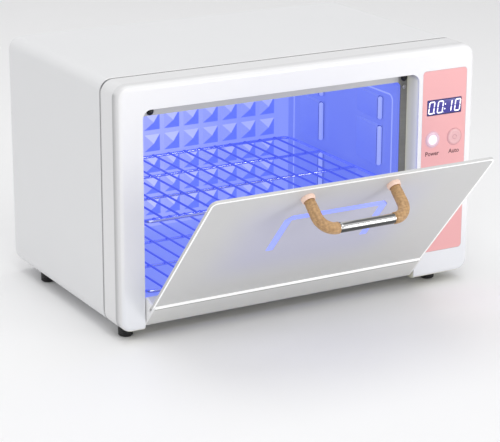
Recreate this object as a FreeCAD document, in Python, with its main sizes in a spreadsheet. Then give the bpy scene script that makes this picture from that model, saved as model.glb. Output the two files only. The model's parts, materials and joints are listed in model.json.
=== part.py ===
import FreeCAD, Part
import math
import os
import Sketcher

# Countertop ultraviolet sterilizer cabinet with a drop-down door, on four rubber feet.
# Frame: +X to the user's right, +Y to the back, +Z up; the origin is on the surface that the
# feet stand on, under the middle of the case. Millimetres and degrees throughout.

doc = FreeCAD.newDocument("uv_sterilizer_cabinet")
sheet = doc.addObject("Spreadsheet::Sheet", "Dims")
parts = []


class Size:
    """A length or angle that keeps both its value and its spreadsheet expression."""

    def __init__(self, value, text):
        self.value = value
        self.text = text

    @staticmethod
    def of(other):
        return other if isinstance(other, Size) else Size(float(other), repr(float(other)))

    def __add__(self, other):
        other = Size.of(other)
        return Size(self.value + other.value, f"({self.text} + {other.text})")

    def __sub__(self, other):
        other = Size.of(other)
        return Size(self.value - other.value, f"({self.text} - {other.text})")

    def __mul__(self, other):
        other = Size.of(other)
        return Size(self.value * other.value, f"({self.text} * {other.text})")

    def __truediv__(self, other):
        other = Size.of(other)
        return Size(self.value / other.value, f"({self.text} / {other.text})")

    def __neg__(self):
        return Size(-self.value, f"(0 - {self.text})")

    def __radd__(self, other):
        return Size.of(other) + self

    def __rsub__(self, other):
        return Size.of(other) - self

    def __rmul__(self, other):
        return Size.of(other) * self


def dim(alias, value, note):
    """Write one driving dimension to the sheet and return it as a Size."""
    row = dim.row = getattr(dim, "row", 0) + 1
    sheet.set(f"A{row}", note)
    sheet.set(f"B{row}", str(value))
    sheet.setAlias(f"B{row}", alias)
    return Size(float(value), f"Dims.{alias}")


def derived(alias, size, note):
    """Write a size that follows from other sizes to the sheet, as a formula."""
    row = dim.row = dim.row + 1
    sheet.set(f"A{row}", note)
    sheet.set(f"B{row}", "=" + size.text.replace("Dims.", ""))
    sheet.setAlias(f"B{row}", alias)
    return Size(size.value, f"Dims.{alias}")


# --- driving dimensions -------------------------------------------------------------------
case_width = dim("case_width", 380, "outside width of the case")
case_height = dim("case_height", 228, "case height without the feet")
bezel_depth = dim("bezel_depth", 35.5, "depth of the moulded front frame")
shell_depth = dim("shell_depth", 204.5, "depth of the steel case behind the seam")
corner_radius = dim("corner_radius", 12, "outer corner radius, seen from the front")
foot_height = dim("foot_height", 10, "rubber foot height")
foot_radius = dim("foot_radius", 7, "rubber foot radius")
foot_inset_left = dim("foot_inset_left", 15, "left feet, inwards from the case side")
foot_inset_right = dim("foot_inset_right", 32, "right feet, inwards from the case side")
foot_front = dim("foot_front", 23, "front feet, behind the front face")
foot_inset_rear = dim("foot_inset_rear", 44, "rear feet, in front of the rear edge")
foot_well_radius = dim("foot_well_radius", 3.6, "well for the screw head in a foot")
foot_bite = dim("foot_bite", 2.4, "depth of the foot screw holes in the front frame")
case_wall = dim("case_wall", 1.2, "sheet steel of the case")
seam_gap = dim("seam_gap", 1.6, "shadow gap between front frame and case")
lip_reach = dim("lip_reach", 40, "how far the case wrap returns under the cabinet")
fit_gap = dim("fit_gap", 0.2, "assembly clearance between fixed pieces")
bezel_wall = dim("bezel_wall", 4, "side walls of the front frame")
bezel_face = dim("bezel_face", 4.5, "front wall of the front frame")
edge_round = dim("edge_round", 5, "rounding of the front frame's outer edge")
stile_width = dim("stile_width", 24.1, "front frame left of the opening")
column_width = dim("column_width", 63.8, "front frame right of the opening, with the controls")
header_height = dim("header_height", 23, "front frame above the opening")
opening_round = dim("opening_round", 8.5, "opening corner radius")
sill_height = dim("sill_height", 14, "sill behind the door rail")
rail_recess = dim("rail_recess", 17, "depth of the recess that the door rail turns in")
flange_depth = dim("flange_depth", 20, "cavity flange, behind the front face")
flange_steel = dim("flange_steel", 1, "flange sheet thickness")
flange_left = dim("flange_left", 7.5, "flange width left of the cavity")
flange_right = dim("flange_right", 7.6, "flange width right of the cavity")
flange_top = dim("flange_top", 11, "flange width above the cavity")
cavity_floor = dim("cavity_floor", 17, "cavity floor above the case bottom")
back_space = dim("back_space", 12, "space between the cavity and the rear edge")
cavity_steel = dim("cavity_steel", 1, "cavity sheet thickness")
cavity_round = dim("cavity_round", 5, "cavity bend radius")
stud_pitch = dim("stud_pitch", 22.4, "pitch of the pyramids in the rear reflector")
stud_base = dim("stud_base", 17.5, "base side of a pyramid")
stud_rise = dim("stud_rise", 4, "height of a pyramid")
pad_reach = dim("pad_reach", 6, "how far a rack support stands into the cavity")
pad_length = dim("pad_length", 45, "front to back length of a rack support")
pad_front = dim("pad_front", 50, "front rack supports, behind the front face")
pad_rear_gap = dim("pad_rear_gap", 25, "rear rack supports, in front of the cavity's rear wall")
pad_height = dim("pad_height", 40, "height of the supports above the upper rack")
pad_top_gap = dim("pad_top_gap", 20, "uppermost supports, below the ceiling")
pad_top_height = dim("pad_top_height", 23, "height of the uppermost supports")
rack_slot = dim("rack_slot", 13, "open height that a rack slides through")
liner_steel = dim("liner_steel", 0.8, "rack support panel thickness")
rack_wire = dim("rack_wire", 4, "rack frame wire diameter")
rack_rod = dim("rack_rod", 3, "rack grid wire diameter")
rack_round = dim("rack_round", 14, "rack corner radius at the wire's centre")
rack_front = dim("rack_front", 24, "rack front wire, behind the front face")
rack_rear_gap = dim("rack_rear_gap", 8, "rack rear wire, in front of the cavity's rear wall")
rack_spaces = 15
rack_side_gap = dim("rack_side_gap", 2.5, "clearance beside a rack")
rack_lift = dim("rack_lift", 0.3, "clearance under a rack at rest")
low_seat = dim("low_seat", 24.5, "top of the lower rack's supports above the case bottom")
rack_spacing = dim("rack_spacing", 67, "height between the two racks")
rest_angle = dim("rest_angle", 41.5, "door opening angle as stored")
hinge_inset = dim("hinge_inset", 4, "hinge axis behind the closed door's face")
hinge_rise = dim("hinge_rise", 10.5, "hinge axis above the case bottom")
pin_radius = dim("pin_radius", 1.5, "hinge pin radius")
pin_play = dim("pin_play", 0.05, "radial running clearance of the pin")
pin_grip = dim("pin_grip", 8, "hinge pin length held in the front frame")
pin_reach = dim("pin_reach", 9, "hinge pin length in the door")
bush_radius = dim("bush_radius", 2.6, "hinge bush outer radius")
bush_length = dim("bush_length", 7, "hinge bush length")
door_gap = dim("door_gap", 0.8, "gap at each side of the door")
door_bottom = dim("door_bottom", 3, "closed door's lower edge above the case bottom")
door_top_gap = dim("door_top_gap", 1.5, "gap above the closed door")
door_round = dim("door_round", 6, "door panel corner radius")
panel_inset = dim("panel_inset", 1.2, "panel face behind the rail face")
panel_thick = dim("panel_thick", 2.5, "door panel thickness")
rail_height = dim("rail_height", 31, "door rail height")
rail_depth = dim("rail_depth", 15, "door rail depth")
rail_wall = dim("rail_wall", 1.6, "door rail wall")
magnet_radius = dim("magnet_radius", 2.6, "door magnet radius")
groove_depth = dim("groove_depth", 9, "panel engagement in the rail")
cap_thick = dim("cap_thick", 2, "rail end cap thickness")
grip_shift = dim("grip_shift", 3, "handle centre, left of the door's middle")
grip_span = dim("grip_span", 88, "distance between the handle's posts")
grip_drop = dim("grip_drop", 15, "handle below the door's upper edge")
grip_stand = dim("grip_stand", 34, "handle bar centre in front of the closed door")
grip_bend = dim("grip_bend", 14, "bend radius of a handle arm")
arm_radius = dim("arm_radius", 5.3, "wooden arm radius")
bar_radius = dim("bar_radius", 4.8, "chrome bar radius")
bar_length = dim("bar_length", 57, "chrome bar length")
collar_radius = dim("collar_radius", 6.4, "handle collar radius")
collar_length = dim("collar_length", 4, "handle collar length")
inlay_span = dim("inlay_span", 99, "light strip, distance between its legs")
inlay_drop = dim("inlay_drop", 43, "light strip's top below the door's upper edge")
inlay_height = dim("inlay_height", 56.5, "light strip height")
inlay_width = dim("inlay_width", 7.4, "light strip width")
fascia_inner_gap = dim("fascia_inner_gap", 4.5, "fascia to the opening")
fascia_outer_gap = dim("fascia_outer_gap", 8.7, "fascia to the case side")
fascia_low = dim("fascia_low", 25.1, "fascia's lower edge above the case bottom")
fascia_drop = dim("fascia_drop", 21.7, "fascia's upper edge below the case top")
fascia_round = dim("fascia_round", 3.5, "control fascia corner radius")
fascia_thick = dim("fascia_thick", 1.6, "control fascia thickness")
window_side = dim("window_side", 5.3, "fascia beside the display window")
window_height = dim("window_height", 15.7, "display window height")
window_drop = dim("window_drop", 58.1, "display window centre below the case top")
button_radius = dim("button_radius", 6.5, "button cap radius")
button_inset = dim("button_inset", 7.3, "button centre, inwards from the window's end")
button_drop = dim("button_drop", 89.4, "button centre below the case top")
button_gap = dim("button_gap", 0.35, "gap around a button cap")
button_proud = dim("button_proud", 1, "button cap in front of the front face")
button_travel = dim("button_travel", 1, "button travel")
board_depth = dim("board_depth", 16, "control board, behind the front face")
board_thick = dim("board_thick", 1.6, "circuit board thickness")
lamp_radius = dim("lamp_radius", 8, "lamp tube radius")
lamp_margin = dim("lamp_margin", 65, "cavity width beyond the lamps, both sides together")
lamp_cap = dim("lamp_cap", 9, "lamp end cap length")
lamp_pitch = dim("lamp_pitch", 44, "distance between the two lamps")
lamp_forward = dim("lamp_forward", 12, "lamp pair, in front of the cavity's middle")
tray_height = dim("tray_height", 25, "lamp reflector tray height above the ceiling")
tray_side = dim("tray_side", 20, "reflector tray beyond the lamp centres")
socket_length = dim("socket_length", 14, "lamp socket length")
screw_radius = dim("screw_radius", 1.5, "small screw radius")
pan_clearance = dim("pan_clearance", 2, "base pan, inwards from the middle of the wrap's lips")
louvre_length = dim("louvre_length", 50, "louvre slot length in the base pan")
louvre_pitch = dim("louvre_pitch", 6, "distance between louvre slots")
vent_drop = dim("vent_drop", 112, "lowest rear vent below the case top")
vent_span = dim("vent_span", 70, "height from the lowest rear vent to the highest")
vent_width = dim("vent_width", 44, "rear vent length")
inlet_offset = dim("inlet_offset", 32.4, "mains inlet, right of the cavity")
inlet_rise = dim("inlet_rise", 49, "mains inlet above the case bottom")
inlet_width = dim("inlet_width", 24, "mains inlet width")
inlet_height = dim("inlet_height", 16, "mains inlet height")
well_radius = dim("well_radius", 4.2, "well radius of the mains inlet")
board_below = dim("board_below", 44.6, "control board below the buttons")
board_above = dim("board_above", 14.1, "control board above the display window's centre")
board_edge = dim("board_edge", 6, "control board screws from its lower edge")
ballast_width = dim("ballast_width", 36, "lamp ballast width")
ballast_length = dim("ballast_length", 80, "lamp ballast length")
ballast_height = dim("ballast_height", 28, "lamp ballast height")
power_rise = dim("power_rise", 76, "power board above the case bottom")
power_width = dim("power_width", 46, "power board width")
power_length = dim("power_length", 70, "power board length")
power_rear_gap = dim("power_rear_gap", 20, "power board in front of the rear edge")
bumper_radius = dim("bumper_radius", 3.5, "door buffer radius")
bumper_length = dim("bumper_length", 3, "door buffer length")
cut_past = dim("cut_past", 5, "how far a cut runs past the sheet it cuts")
pan_rear_gap = dim("pan_rear_gap", 4, "base pan in front of the rear edge")
rear_recess = dim("rear_recess", 2.4, "rear panel's inner face, in front of the rear edge")
vent_height = dim("vent_height", 3, "rear vent height")
vent_round = dim("vent_round", 1.2, "rear vent corner radius")
hollow_low = dim("hollow_low", 4, "front frame's hollow, above its lower corner rounding")
window_ledge = dim("window_ledge", 1.5, "ledge around the display window")
window_recess = dim("window_recess", 0.1, "display window behind the front face")
foot_well_depth = dim("foot_well_depth", 4, "depth of the screw head's well in a foot")
foot_head = dim("foot_head", 2, "foot screw head height")
head_play = dim("head_play", 0.4, "clearance around a foot screw head")
tray_lip = dim("tray_lip", 3, "reflector tray beyond the lamp opening")
liner_front = dim("liner_front", 4, "rack support panel behind the flange")
liner_gap = dim("liner_gap", 0.5, "rack support panel clear of the cavity bends")
flange_head_radius = dim("flange_head_radius", 2.2, "flange screw head radius")
flange_head = dim("flange_head", 1, "flange screw head height")
flange_screw_drop = dim("flange_screw_drop", 16, "upper flange screws below the opening's top")
flange_screw_rise = dim("flange_screw_rise", 40, "lower flange screws above the case bottom")
bumper_inset = dim("bumper_inset", 9.4, "left door buffer, inwards from the cavity side")
bumper_shift = dim("bumper_shift", 0.4, "right door buffer, left of its strip's middle")
bumper_drop = dim("bumper_drop", 1.5, "door buffers, below the upper strip's middle")
weld_sink = dim("weld_sink", 0.6, "how far the rods sink into the wires at a weld")
lamp_cap_step = dim("lamp_cap_step", 0.4, "lamp cap proud of the tube")
socket_margin = dim("socket_margin", 3, "lamp socket beyond a lamp")
rim_width = dim("rim_width", 1.2, "retaining rim of a button")
stem_radius = dim("stem_radius", 2, "button stem radius")
stem_end = dim("stem_end", 4.4, "button stem's end behind the front wall")
plunger_radius = dim("plunger_radius", 1.7, "push switch plunger radius")
switch_half = dim("switch_half", 3.2, "half the side of a push switch")
switch_depth = dim("switch_depth", 4, "push switch depth")
board_side = dim("board_side", 3, "control board inside the fascia's edge")
board_screw_side = dim("board_screw_side", 4, "board screws from the board's side")
board_screw_length = dim("board_screw_length", 8, "board screw length under its head")
board_head_radius = dim("board_head_radius", 2.8, "board screw head radius")
board_head = dim("board_head", 1.6, "board screw head height")
post_radius = dim("post_radius", 3, "board post radius")
electrics_gap = dim("electrics_gap", 6, "ballast and power board beside the chamber")
part_gap = dim("part_gap", 4, "parts on the power board, apart and from its edge")
coil_width = dim("coil_width", 20, "coil width")
coil_length = dim("coil_length", 23, "coil length")
coil_height = dim("coil_height", 20.4, "coil height")
relay_width = dim("relay_width", 16, "relay width")
relay_length = dim("relay_length", 20, "relay length")
relay_height = dim("relay_height", 14.4, "relay height")
capacitor_radius = dim("capacitor_radius", 7, "capacitor radius")
capacitor_height = dim("capacitor_height", 20, "capacitor height")
capacitor_rear = dim("capacitor_rear", 20, "capacitor in front of the power board's rear edge")
bracket_width = dim("bracket_width", 8, "board bracket foot width")
inlet_round = dim("inlet_round", 0.3, "corner radius of the inlet's cut-out")
inlet_deep = dim("inlet_deep", 16, "mains inlet in front of the rear panel")
inlet_inset = dim("inlet_inset", 0.6, "mains inlet in front of the rear edge")
inlet_rim = dim("inlet_rim", 3, "rim around the mains inlet")
well_deep = dim("well_deep", 8, "depth of the inlet's wells in front of the rear panel")
well_shift = dim("well_shift", 4.6, "wells, each side of the inlet's middle")
contact_shift = dim("contact_shift", 4.3, "contact pins, each side of the inlet's middle")
contact_radius = dim("contact_radius", 1.2, "contact pin radius")
contact_length = dim("contact_length", 19, "contact pin length")
fuse_rear = dim("fuse_rear", 30, "fuse in front of the power board's rear edge")
fuse_radius = dim("fuse_radius", 3, "fuse radius")
fuse_length = dim("fuse_length", 22, "fuse length")
holder_height = dim("holder_height", 11, "fuse holder height")
holder_half = dim("holder_half", 5, "half the fuse holder's depth")
sensor_width = dim("sensor_width", 4, "door sensor width")
sensor_height = dim("sensor_height", 6, "door sensor height")
groove_play = dim("groove_play", 0.1, "clearance on each side of the panel in the rail's groove")
rail_bevel = dim("rail_bevel", 4, "bevel under the rail's back")
rail_slope = dim("rail_slope", 5, "fall of the rail's sloping top")
lip_bevel = dim("lip_bevel", 0.4, "bevel of the rail's lip")
magnet_clear = dim("magnet_clear", 1.4, "door magnet clear of the rail's back wall")
magnet_length = dim("magnet_length", 5, "door magnet length")
grip_screw = dim("grip_screw", 2, "handle screw radius")
grip_head_radius = dim("grip_head_radius", 3.8, "handle screw head radius")
grip_head = dim("grip_head", 2.2, "handle screw head height")
arm_bore = dim("arm_bore", 8, "screw hole depth in a handle arm")
case_screw_inset = dim("case_screw_inset", 16, "case screws, inwards from the case side")
case_screw_low = dim("case_screw_low", 22, "lower case screws above the case bottom")
case_screw_high = dim("case_screw_high", 20, "upper case screws below the case top")
case_head_radius = dim("case_head_radius", 3, "case screw head radius")
case_head = dim("case_head", 1.1, "case screw head height")
LOUVRES = 4
VENT_ROWS = 11
BEVEL_SHARE = 0.8
TOUCH = 1e-4

total_depth = derived("total_depth", bezel_depth + shell_depth, "case depth")
opening_left = derived(
    "opening_left", case_width / 2 - stile_width, "opening, left side from the centre plane"
)
opening_right = derived(
    "opening_right", case_width / 2 - column_width, "opening, right side from the centre plane"
)
opening_top = derived("opening_top", case_height - header_height, "opening top")
cavity_left = derived("cavity_left", opening_left - flange_left, "cavity inner left side")
cavity_right = derived("cavity_right", opening_right - flange_right, "cavity inner right side")
cavity_top = derived("cavity_top", opening_top - flange_top, "cavity ceiling")
cavity_back = derived("cavity_back", total_depth - back_space, "cavity rear wall")
cavity_mid = derived("cavity_mid", (cavity_right - cavity_left) / 2, "cavity's middle")
pad_rear = derived("pad_rear", cavity_back - pad_rear_gap - pad_length, "rear rack supports")
rack_back = derived("rack_back", cavity_back - rack_rear_gap, "rack rear wire")
mid_seat = derived("mid_seat", low_seat + rack_spacing, "top of the upper rack's supports")
door_top = derived("door_top", opening_top - door_top_gap, "closed door's upper edge")
grip_centre = derived(
    "grip_centre", (opening_left - opening_right) / 2 + grip_shift, "handle, left of the centre"
)
grip_height = derived("grip_height", door_top - grip_drop, "handle with the door closed")
inlay_high = derived("inlay_high", door_top - inlay_drop, "light strip's top")
inlay_low = derived("inlay_low", inlay_high - inlay_height, "light strip's lower ends")
fascia_width = derived(
    "fascia_width", column_width - fascia_inner_gap - fascia_outer_gap, "control fascia width"
)
fascia_height = derived(
    "fascia_height", case_height - fascia_drop - fascia_low, "control fascia height"
)
fascia_x = derived(
    "fascia_x", opening_right + fascia_inner_gap + fascia_width / 2, "control fascia centre"
)
fascia_z = derived("fascia_z", fascia_low + fascia_height / 2, "control fascia centre height")
window_width = derived("window_width", fascia_width - window_side * 2, "display window width")
window_z = derived("window_z", case_height - window_drop, "display window centre height")
button_offset = derived("button_offset", window_width / 2 - button_inset, "buttons, each side")
button_z = derived("button_z", case_height - button_drop, "button centre height")
lamp_length = derived("lamp_length", cavity_left + cavity_right - lamp_margin, "lamp length")
lamp_centre = derived(
    "lamp_centre", (cavity_back + flange_depth) / 2 - lamp_forward, "lamp pair's centre"
)
inlet_x = derived("inlet_x", cavity_right + inlet_offset, "mains inlet centre")
vent_low = derived("vent_low", case_height - vent_drop, "lowest rear vent")


def depth(distance):
    """Y of a plane this far behind the front face."""
    return Size.of(distance) - total_depth / 2


def level(height):
    """Z of a plane this far above the case bottom."""
    return Size.of(height) + foot_height


# --- builders -------------------------------------------------------------------------------
def bind(obj, prop, size):
    """Drive a property from the sheet."""
    obj.setExpression(prop, Size.of(size).text)


def keep(obj, label):
    """Name a finished piece and list it for export."""
    obj.Label = label
    parts.append(obj)
    return obj


def seat(obj, x, y, z):
    bind(obj, ".Placement.Base.x", x)
    bind(obj, ".Placement.Base.y", y)
    bind(obj, ".Placement.Base.z", z)


def box(name, x, y, z):
    """Box between pairs of X, Y and Z limits."""
    obj = doc.addObject("Part::Box", name)
    bind(obj, "Length", x[1] - Size.of(x[0]))
    bind(obj, "Width", y[1] - Size.of(y[0]))
    bind(obj, "Height", z[1] - Size.of(z[0]))
    seat(obj, x[0], y[0], z[0])
    return obj


TURNS = {
    "x": FreeCAD.Rotation(FreeCAD.Vector(0, 1, 0), 90),
    "y": FreeCAD.Rotation(FreeCAD.Vector(1, 0, 0), -90),
    "z": FreeCAD.Rotation(),
}


def rod(name, axis, start, radius, length):
    """Cylinder along +axis from its start point."""
    obj = doc.addObject("Part::Cylinder", name)
    obj.Placement = FreeCAD.Placement(FreeCAD.Vector(), TURNS[axis])
    bind(obj, "Radius", radius)
    bind(obj, "Height", length)
    seat(obj, *start)
    return obj


def bend(name, centre, ring_radius, radius, first_angle):
    """Quarter torus in a level plane, counter-clockwise from first_angle."""
    obj = doc.addObject("Part::Torus", name)
    bind(obj, "Radius1", ring_radius)
    bind(obj, "Radius2", radius)
    obj.Angle3 = 90
    obj.Placement = FreeCAD.Placement(
        FreeCAD.Vector(), FreeCAD.Rotation(FreeCAD.Vector(0, 0, 1), first_angle)
    )
    seat(obj, *centre)
    return obj


def fuse(name, shapes):
    obj = doc.addObject("Part::MultiFuse", name)
    obj.Shapes = shapes
    obj.Refine = True
    return obj


def group(name, shapes):
    """Separate solids that share one node."""
    obj = doc.addObject("Part::Compound", name)
    obj.Links = shapes
    return obj


def cut(name, base, tools):
    obj = doc.addObject("Part::Cut", name)
    obj.Base = base
    obj.Tool = tools[0] if len(tools) == 1 else group(name + "_tools", tools)
    return obj


def plane(body, role):
    return next(item for item in body.Origin.OriginFeatures if item.Role == role)


NORMAL_SIGN = {"XY_Plane": 1, "XZ_Plane": -1, "YZ_Plane": 1}


def sketch_on(body, role, position, name):
    """Sketch on a plane parallel to one of the body's own origin planes."""
    sketch = body.newObject("Sketcher::SketchObject", f"{body.Name}_{name}")
    sketch.AttachmentSupport = [(plane(body, role), "")]
    sketch.MapMode = "FlatFace"
    offset = Size.of(position) if NORMAL_SIGN[role] > 0 else -Size.of(position)
    bind(sketch, ".AttachmentOffset.Base.z", offset)
    return sketch


def pin_point(sketch, curve, end, x, z):
    """Hold one point of the sketch at a place driven from the sheet."""
    for kind, size in (("DistanceX", x), ("DistanceY", z)):
        index = sketch.addConstraint(Sketcher.Constraint(kind, -1, 1, curve, end, size.value))
        sketch.setExpression(f"Constraints[{index}]", size.text)


def draw_outline(sketch, points):
    """Closed outline of straight lines through driven points."""
    points = [(Size.of(x), Size.of(z)) for x, z in points]
    first = sketch.GeometryCount
    count = len(points)
    for index in range(count):
        here = points[index]
        after = points[(index + 1) % count]
        sketch.addGeometry(
            Part.LineSegment(
                FreeCAD.Vector(here[0].value, here[1].value, 0),
                FreeCAD.Vector(after[0].value, after[1].value, 0),
            ),
            False,
        )
    for index in range(count):
        following = first + (index + 1) % count
        sketch.addConstraint(Sketcher.Constraint("Coincident", first + index, 2, following, 1))
        pin_point(sketch, first + index, 1, *points[index])


def draw_rounded(sketch, x, z, radius):
    """Closed rectangle with four equal round corners, driven by its sides and its radius."""
    x0, x1, z0, z1 = (Size.of(size) for size in (*x, *z))
    radius = Size.of(radius)
    first = sketch.GeometryCount
    corners = [(x0, z0, 1, 1), (x1, z0, -1, 1), (x1, z1, -1, -1), (x0, z1, 1, -1)]
    centres = [
        FreeCAD.Vector(cx.value + sx * radius.value, cz.value + sz * radius.value, 0)
        for cx, cz, sx, sz in corners
    ]
    up = FreeCAD.Vector(0, 0, 1)
    for index, centre in enumerate(centres):
        start = math.pi + index * math.pi / 2
        circle = Part.Circle(centre, up, radius.value)
        sketch.addGeometry(Part.ArcOfCircle(circle, start, start + math.pi / 2), False)
    for index in range(4):
        arc_end = sketch.getPoint(first + index, 2)
        arc_start = sketch.getPoint(first + (index + 1) % 4, 1)
        sketch.addGeometry(Part.LineSegment(arc_end, arc_start), False)
    for index in range(4):
        line = first + 4 + index
        sketch.addConstraint(Sketcher.Constraint("Tangent", first + index, 2, line, 1))
        sketch.addConstraint(Sketcher.Constraint("Tangent", line, 2, first + (index + 1) % 4, 1))
    for line, kind in ((4, "Horizontal"), (5, "Vertical"), (6, "Horizontal"), (7, "Vertical")):
        sketch.addConstraint(Sketcher.Constraint(kind, first + line))
    for arc in (1, 2, 3):
        sketch.addConstraint(Sketcher.Constraint("Equal", first, first + arc))
    index = sketch.addConstraint(Sketcher.Constraint("Radius", first, radius.value))
    sketch.setExpression(f"Constraints[{index}]", radius.text)
    sides = (("DistanceY", 4, z0), ("DistanceX", 5, x1), ("DistanceY", 6, z1), ("DistanceX", 7, x0))
    for kind, line, size in sides:
        index = sketch.addConstraint(
            Sketcher.Constraint(kind, -1, 1, first + line, 1, size.value)
        )
        sketch.setExpression(f"Constraints[{index}]", size.text)


def draw_circle(sketch, x, z, radius):
    x, z, radius = Size.of(x), Size.of(z), Size.of(radius)
    centre = FreeCAD.Vector(x.value, z.value, 0)
    curve = sketch.addGeometry(Part.Circle(centre, FreeCAD.Vector(0, 0, 1), radius.value), False)
    index = sketch.addConstraint(Sketcher.Constraint("Radius", curve, radius.value))
    sketch.setExpression(f"Constraints[{index}]", radius.text)
    pin_point(sketch, curve, 3, x, z)


def pad(body, sketch, length):
    feature = body.newObject("PartDesign::Pad", f"{sketch.Name}_pad")
    feature.Profile = sketch
    bind(feature, "Length", length)
    doc.recompute()
    return feature


def pocket(body, sketch, length, towards_normal=False):
    """Cut into the body and make sure that the cut removed something."""
    before = body.Shape.Volume
    feature = body.newObject("PartDesign::Pocket", f"{sketch.Name}_pocket")
    feature.Profile = sketch
    feature.Reversed = towards_normal
    bind(feature, "Length", length)
    doc.recompute()
    if body.Shape.Volume > before - 1e-3:
        raise RuntimeError(f"{feature.Name} cuts nothing")
    return feature


def front_plate(label, front, thickness, outlines):
    """Plate in a plane facing the front, from its front face backwards."""
    body = keep(doc.addObject("PartDesign::Body", label), label)
    sketch = sketch_on(body, "XZ_Plane", front + thickness, "outline")
    for outline in outlines:
        outline(sketch)
    pad(body, sketch, thickness)
    return body


def rounded(x, z, radius):
    return lambda sketch: draw_rounded(sketch, x, z, radius)


def round_hole(x, z, radius):
    return lambda sketch: draw_circle(sketch, x, z, radius)


def front_cut(body, name, front, length, outlines):
    """Cut that runs backwards from a plane facing the front."""
    sketch = sketch_on(body, "XZ_Plane", front, name)
    for outline in outlines:
        outline(sketch)
    return pocket(body, sketch, length)


def polygon(points):
    return lambda sketch: draw_outline(sketch, points)


def hang_on_hinge(obj):
    """Turn a piece drawn in the closed door about the hinge axis to the stored angle."""
    obj.Placement = FreeCAD.Placement(
        FreeCAD.Vector(), FreeCAD.Rotation(FreeCAD.Vector(1, 0, 0), rest_angle.value)
    )
    bind(obj, ".Placement.Rotation.Angle", rest_angle)
    hinge_y = depth(hinge_inset).text
    hinge_z = level(hinge_rise).text
    cosine = f"cos({rest_angle.text})"
    sine = f"sin({rest_angle.text})"
    obj.setExpression(".Placement.Base.y", f"{hinge_y} * (1 - {cosine}) + {hinge_z} * {sine}")
    obj.setExpression(".Placement.Base.z", f"{hinge_z} * (1 - {cosine}) - {hinge_y} * {sine}")
    return obj


# --- case -----------------------------------------------------------------------------------
def make_case_wrap():
    """Sheet steel cover bent round the top, the sides and the lower corners."""
    half = case_width / 2
    sides = (-half, half)
    heights = (level(0), level(case_height))
    inner_sides = (case_wall - half, half - case_wall)
    inner_heights = (level(case_wall), level(case_height - case_wall))
    front = depth(bezel_depth + seam_gap)
    length = shell_depth - seam_gap
    wrap = front_plate(
        "case_wrap",
        front,
        length,
        [
            rounded(sides, heights, corner_radius),
            rounded(inner_sides, inner_heights, corner_radius - case_wall),
        ],
    )
    reach = half - lip_reach
    bottom = rounded((-reach, reach), (level(-cut_past), level(cut_past)), 1)
    front_cut(wrap, "underside", front, length, [bottom])
    foot_holes(wrap, "rear", case_wall)


def foot_holes(body, side, thickness):
    """Holes for the screws of the two feet on one side, from inside the body downwards."""
    sketch = sketch_on(body, "XY_Plane", level(thickness), f"{side}_foot_holes")
    for name, x, y in FEET:
        if name.startswith(side):
            draw_circle(sketch, x, y, screw_radius)
    pocket(body, sketch, Size.of(thickness) + 1)


def make_base_pan():
    """Bottom sheet that rests on the wrap's return lips, with louvre slots for cooling air."""
    reach = case_width / 2 - lip_reach / 2 - pan_clearance
    low = level(case_wall)
    front = bezel_depth + seam_gap + 1
    blank = box(
        "base_blank",
        (-reach, reach),
        (depth(front), depth(total_depth - pan_rear_gap)),
        (low, low + case_wall),
    )
    slots = []
    for index in range(LOUVRES):
        x = opening_right + louvre_pitch * index
        slots.append(
            box(
                f"base_slot_{index}",
                (x, x + louvre_pitch / 2),
                (depth(total_depth / 3), depth(total_depth / 3 + louvre_length)),
                (low - 1, low + case_wall + 1),
            )
        )
    slots += [
        rod(f"base_hole_{name}", "z", (x, y, low - 1), screw_radius + fit_gap, cut_past)
        for name, x, y in FEET
        if name.startswith("rear")
    ]
    keep(cut("base_pan", blank, slots), "base_pan")


def make_rear_panel():
    """Rear cover with ventilation slots and the cut-out for the mains inlet."""
    half = case_width / 2 - case_wall - fit_gap
    front = depth(total_depth - rear_recess)
    panel = front_plate(
        "rear_panel",
        front,
        case_wall,
        [
            rounded(
                (-half, half),
                (level(case_wall * 2 + fit_gap), level(case_height - case_wall - fit_gap)),
                corner_radius - case_wall - fit_gap,
            )
        ],
    )
    inlet = rounded(inlet_side(0), inlet_level(0), inlet_round)
    front_cut(panel, "inlet", front, case_wall, [inlet])
    slot = rounded(
        (inlet_x - vent_width / 2, inlet_x + vent_width / 2),
        (level(vent_low), level(vent_low + vent_height)),
        vent_round,
    )
    vent = front_cut(panel, "vent", front, case_wall, [slot])
    pattern = panel.newObject("PartDesign::LinearPattern", "vent_pattern")
    pattern.Originals = [vent]
    pattern.Direction = (plane(panel, "Z_Axis"), [""])
    bind(pattern, "Length", vent_span)
    pattern.Occurrences = VENT_ROWS
    panel.Tip = pattern
    doc.recompute()


def inlet_side(margin):
    half = inlet_width / 2 - margin
    return (inlet_x - half, inlet_x + half)


def inlet_level(margin):
    half = inlet_height / 2 - margin
    return (level(inlet_rise - half), level(inlet_rise + half))


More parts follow.
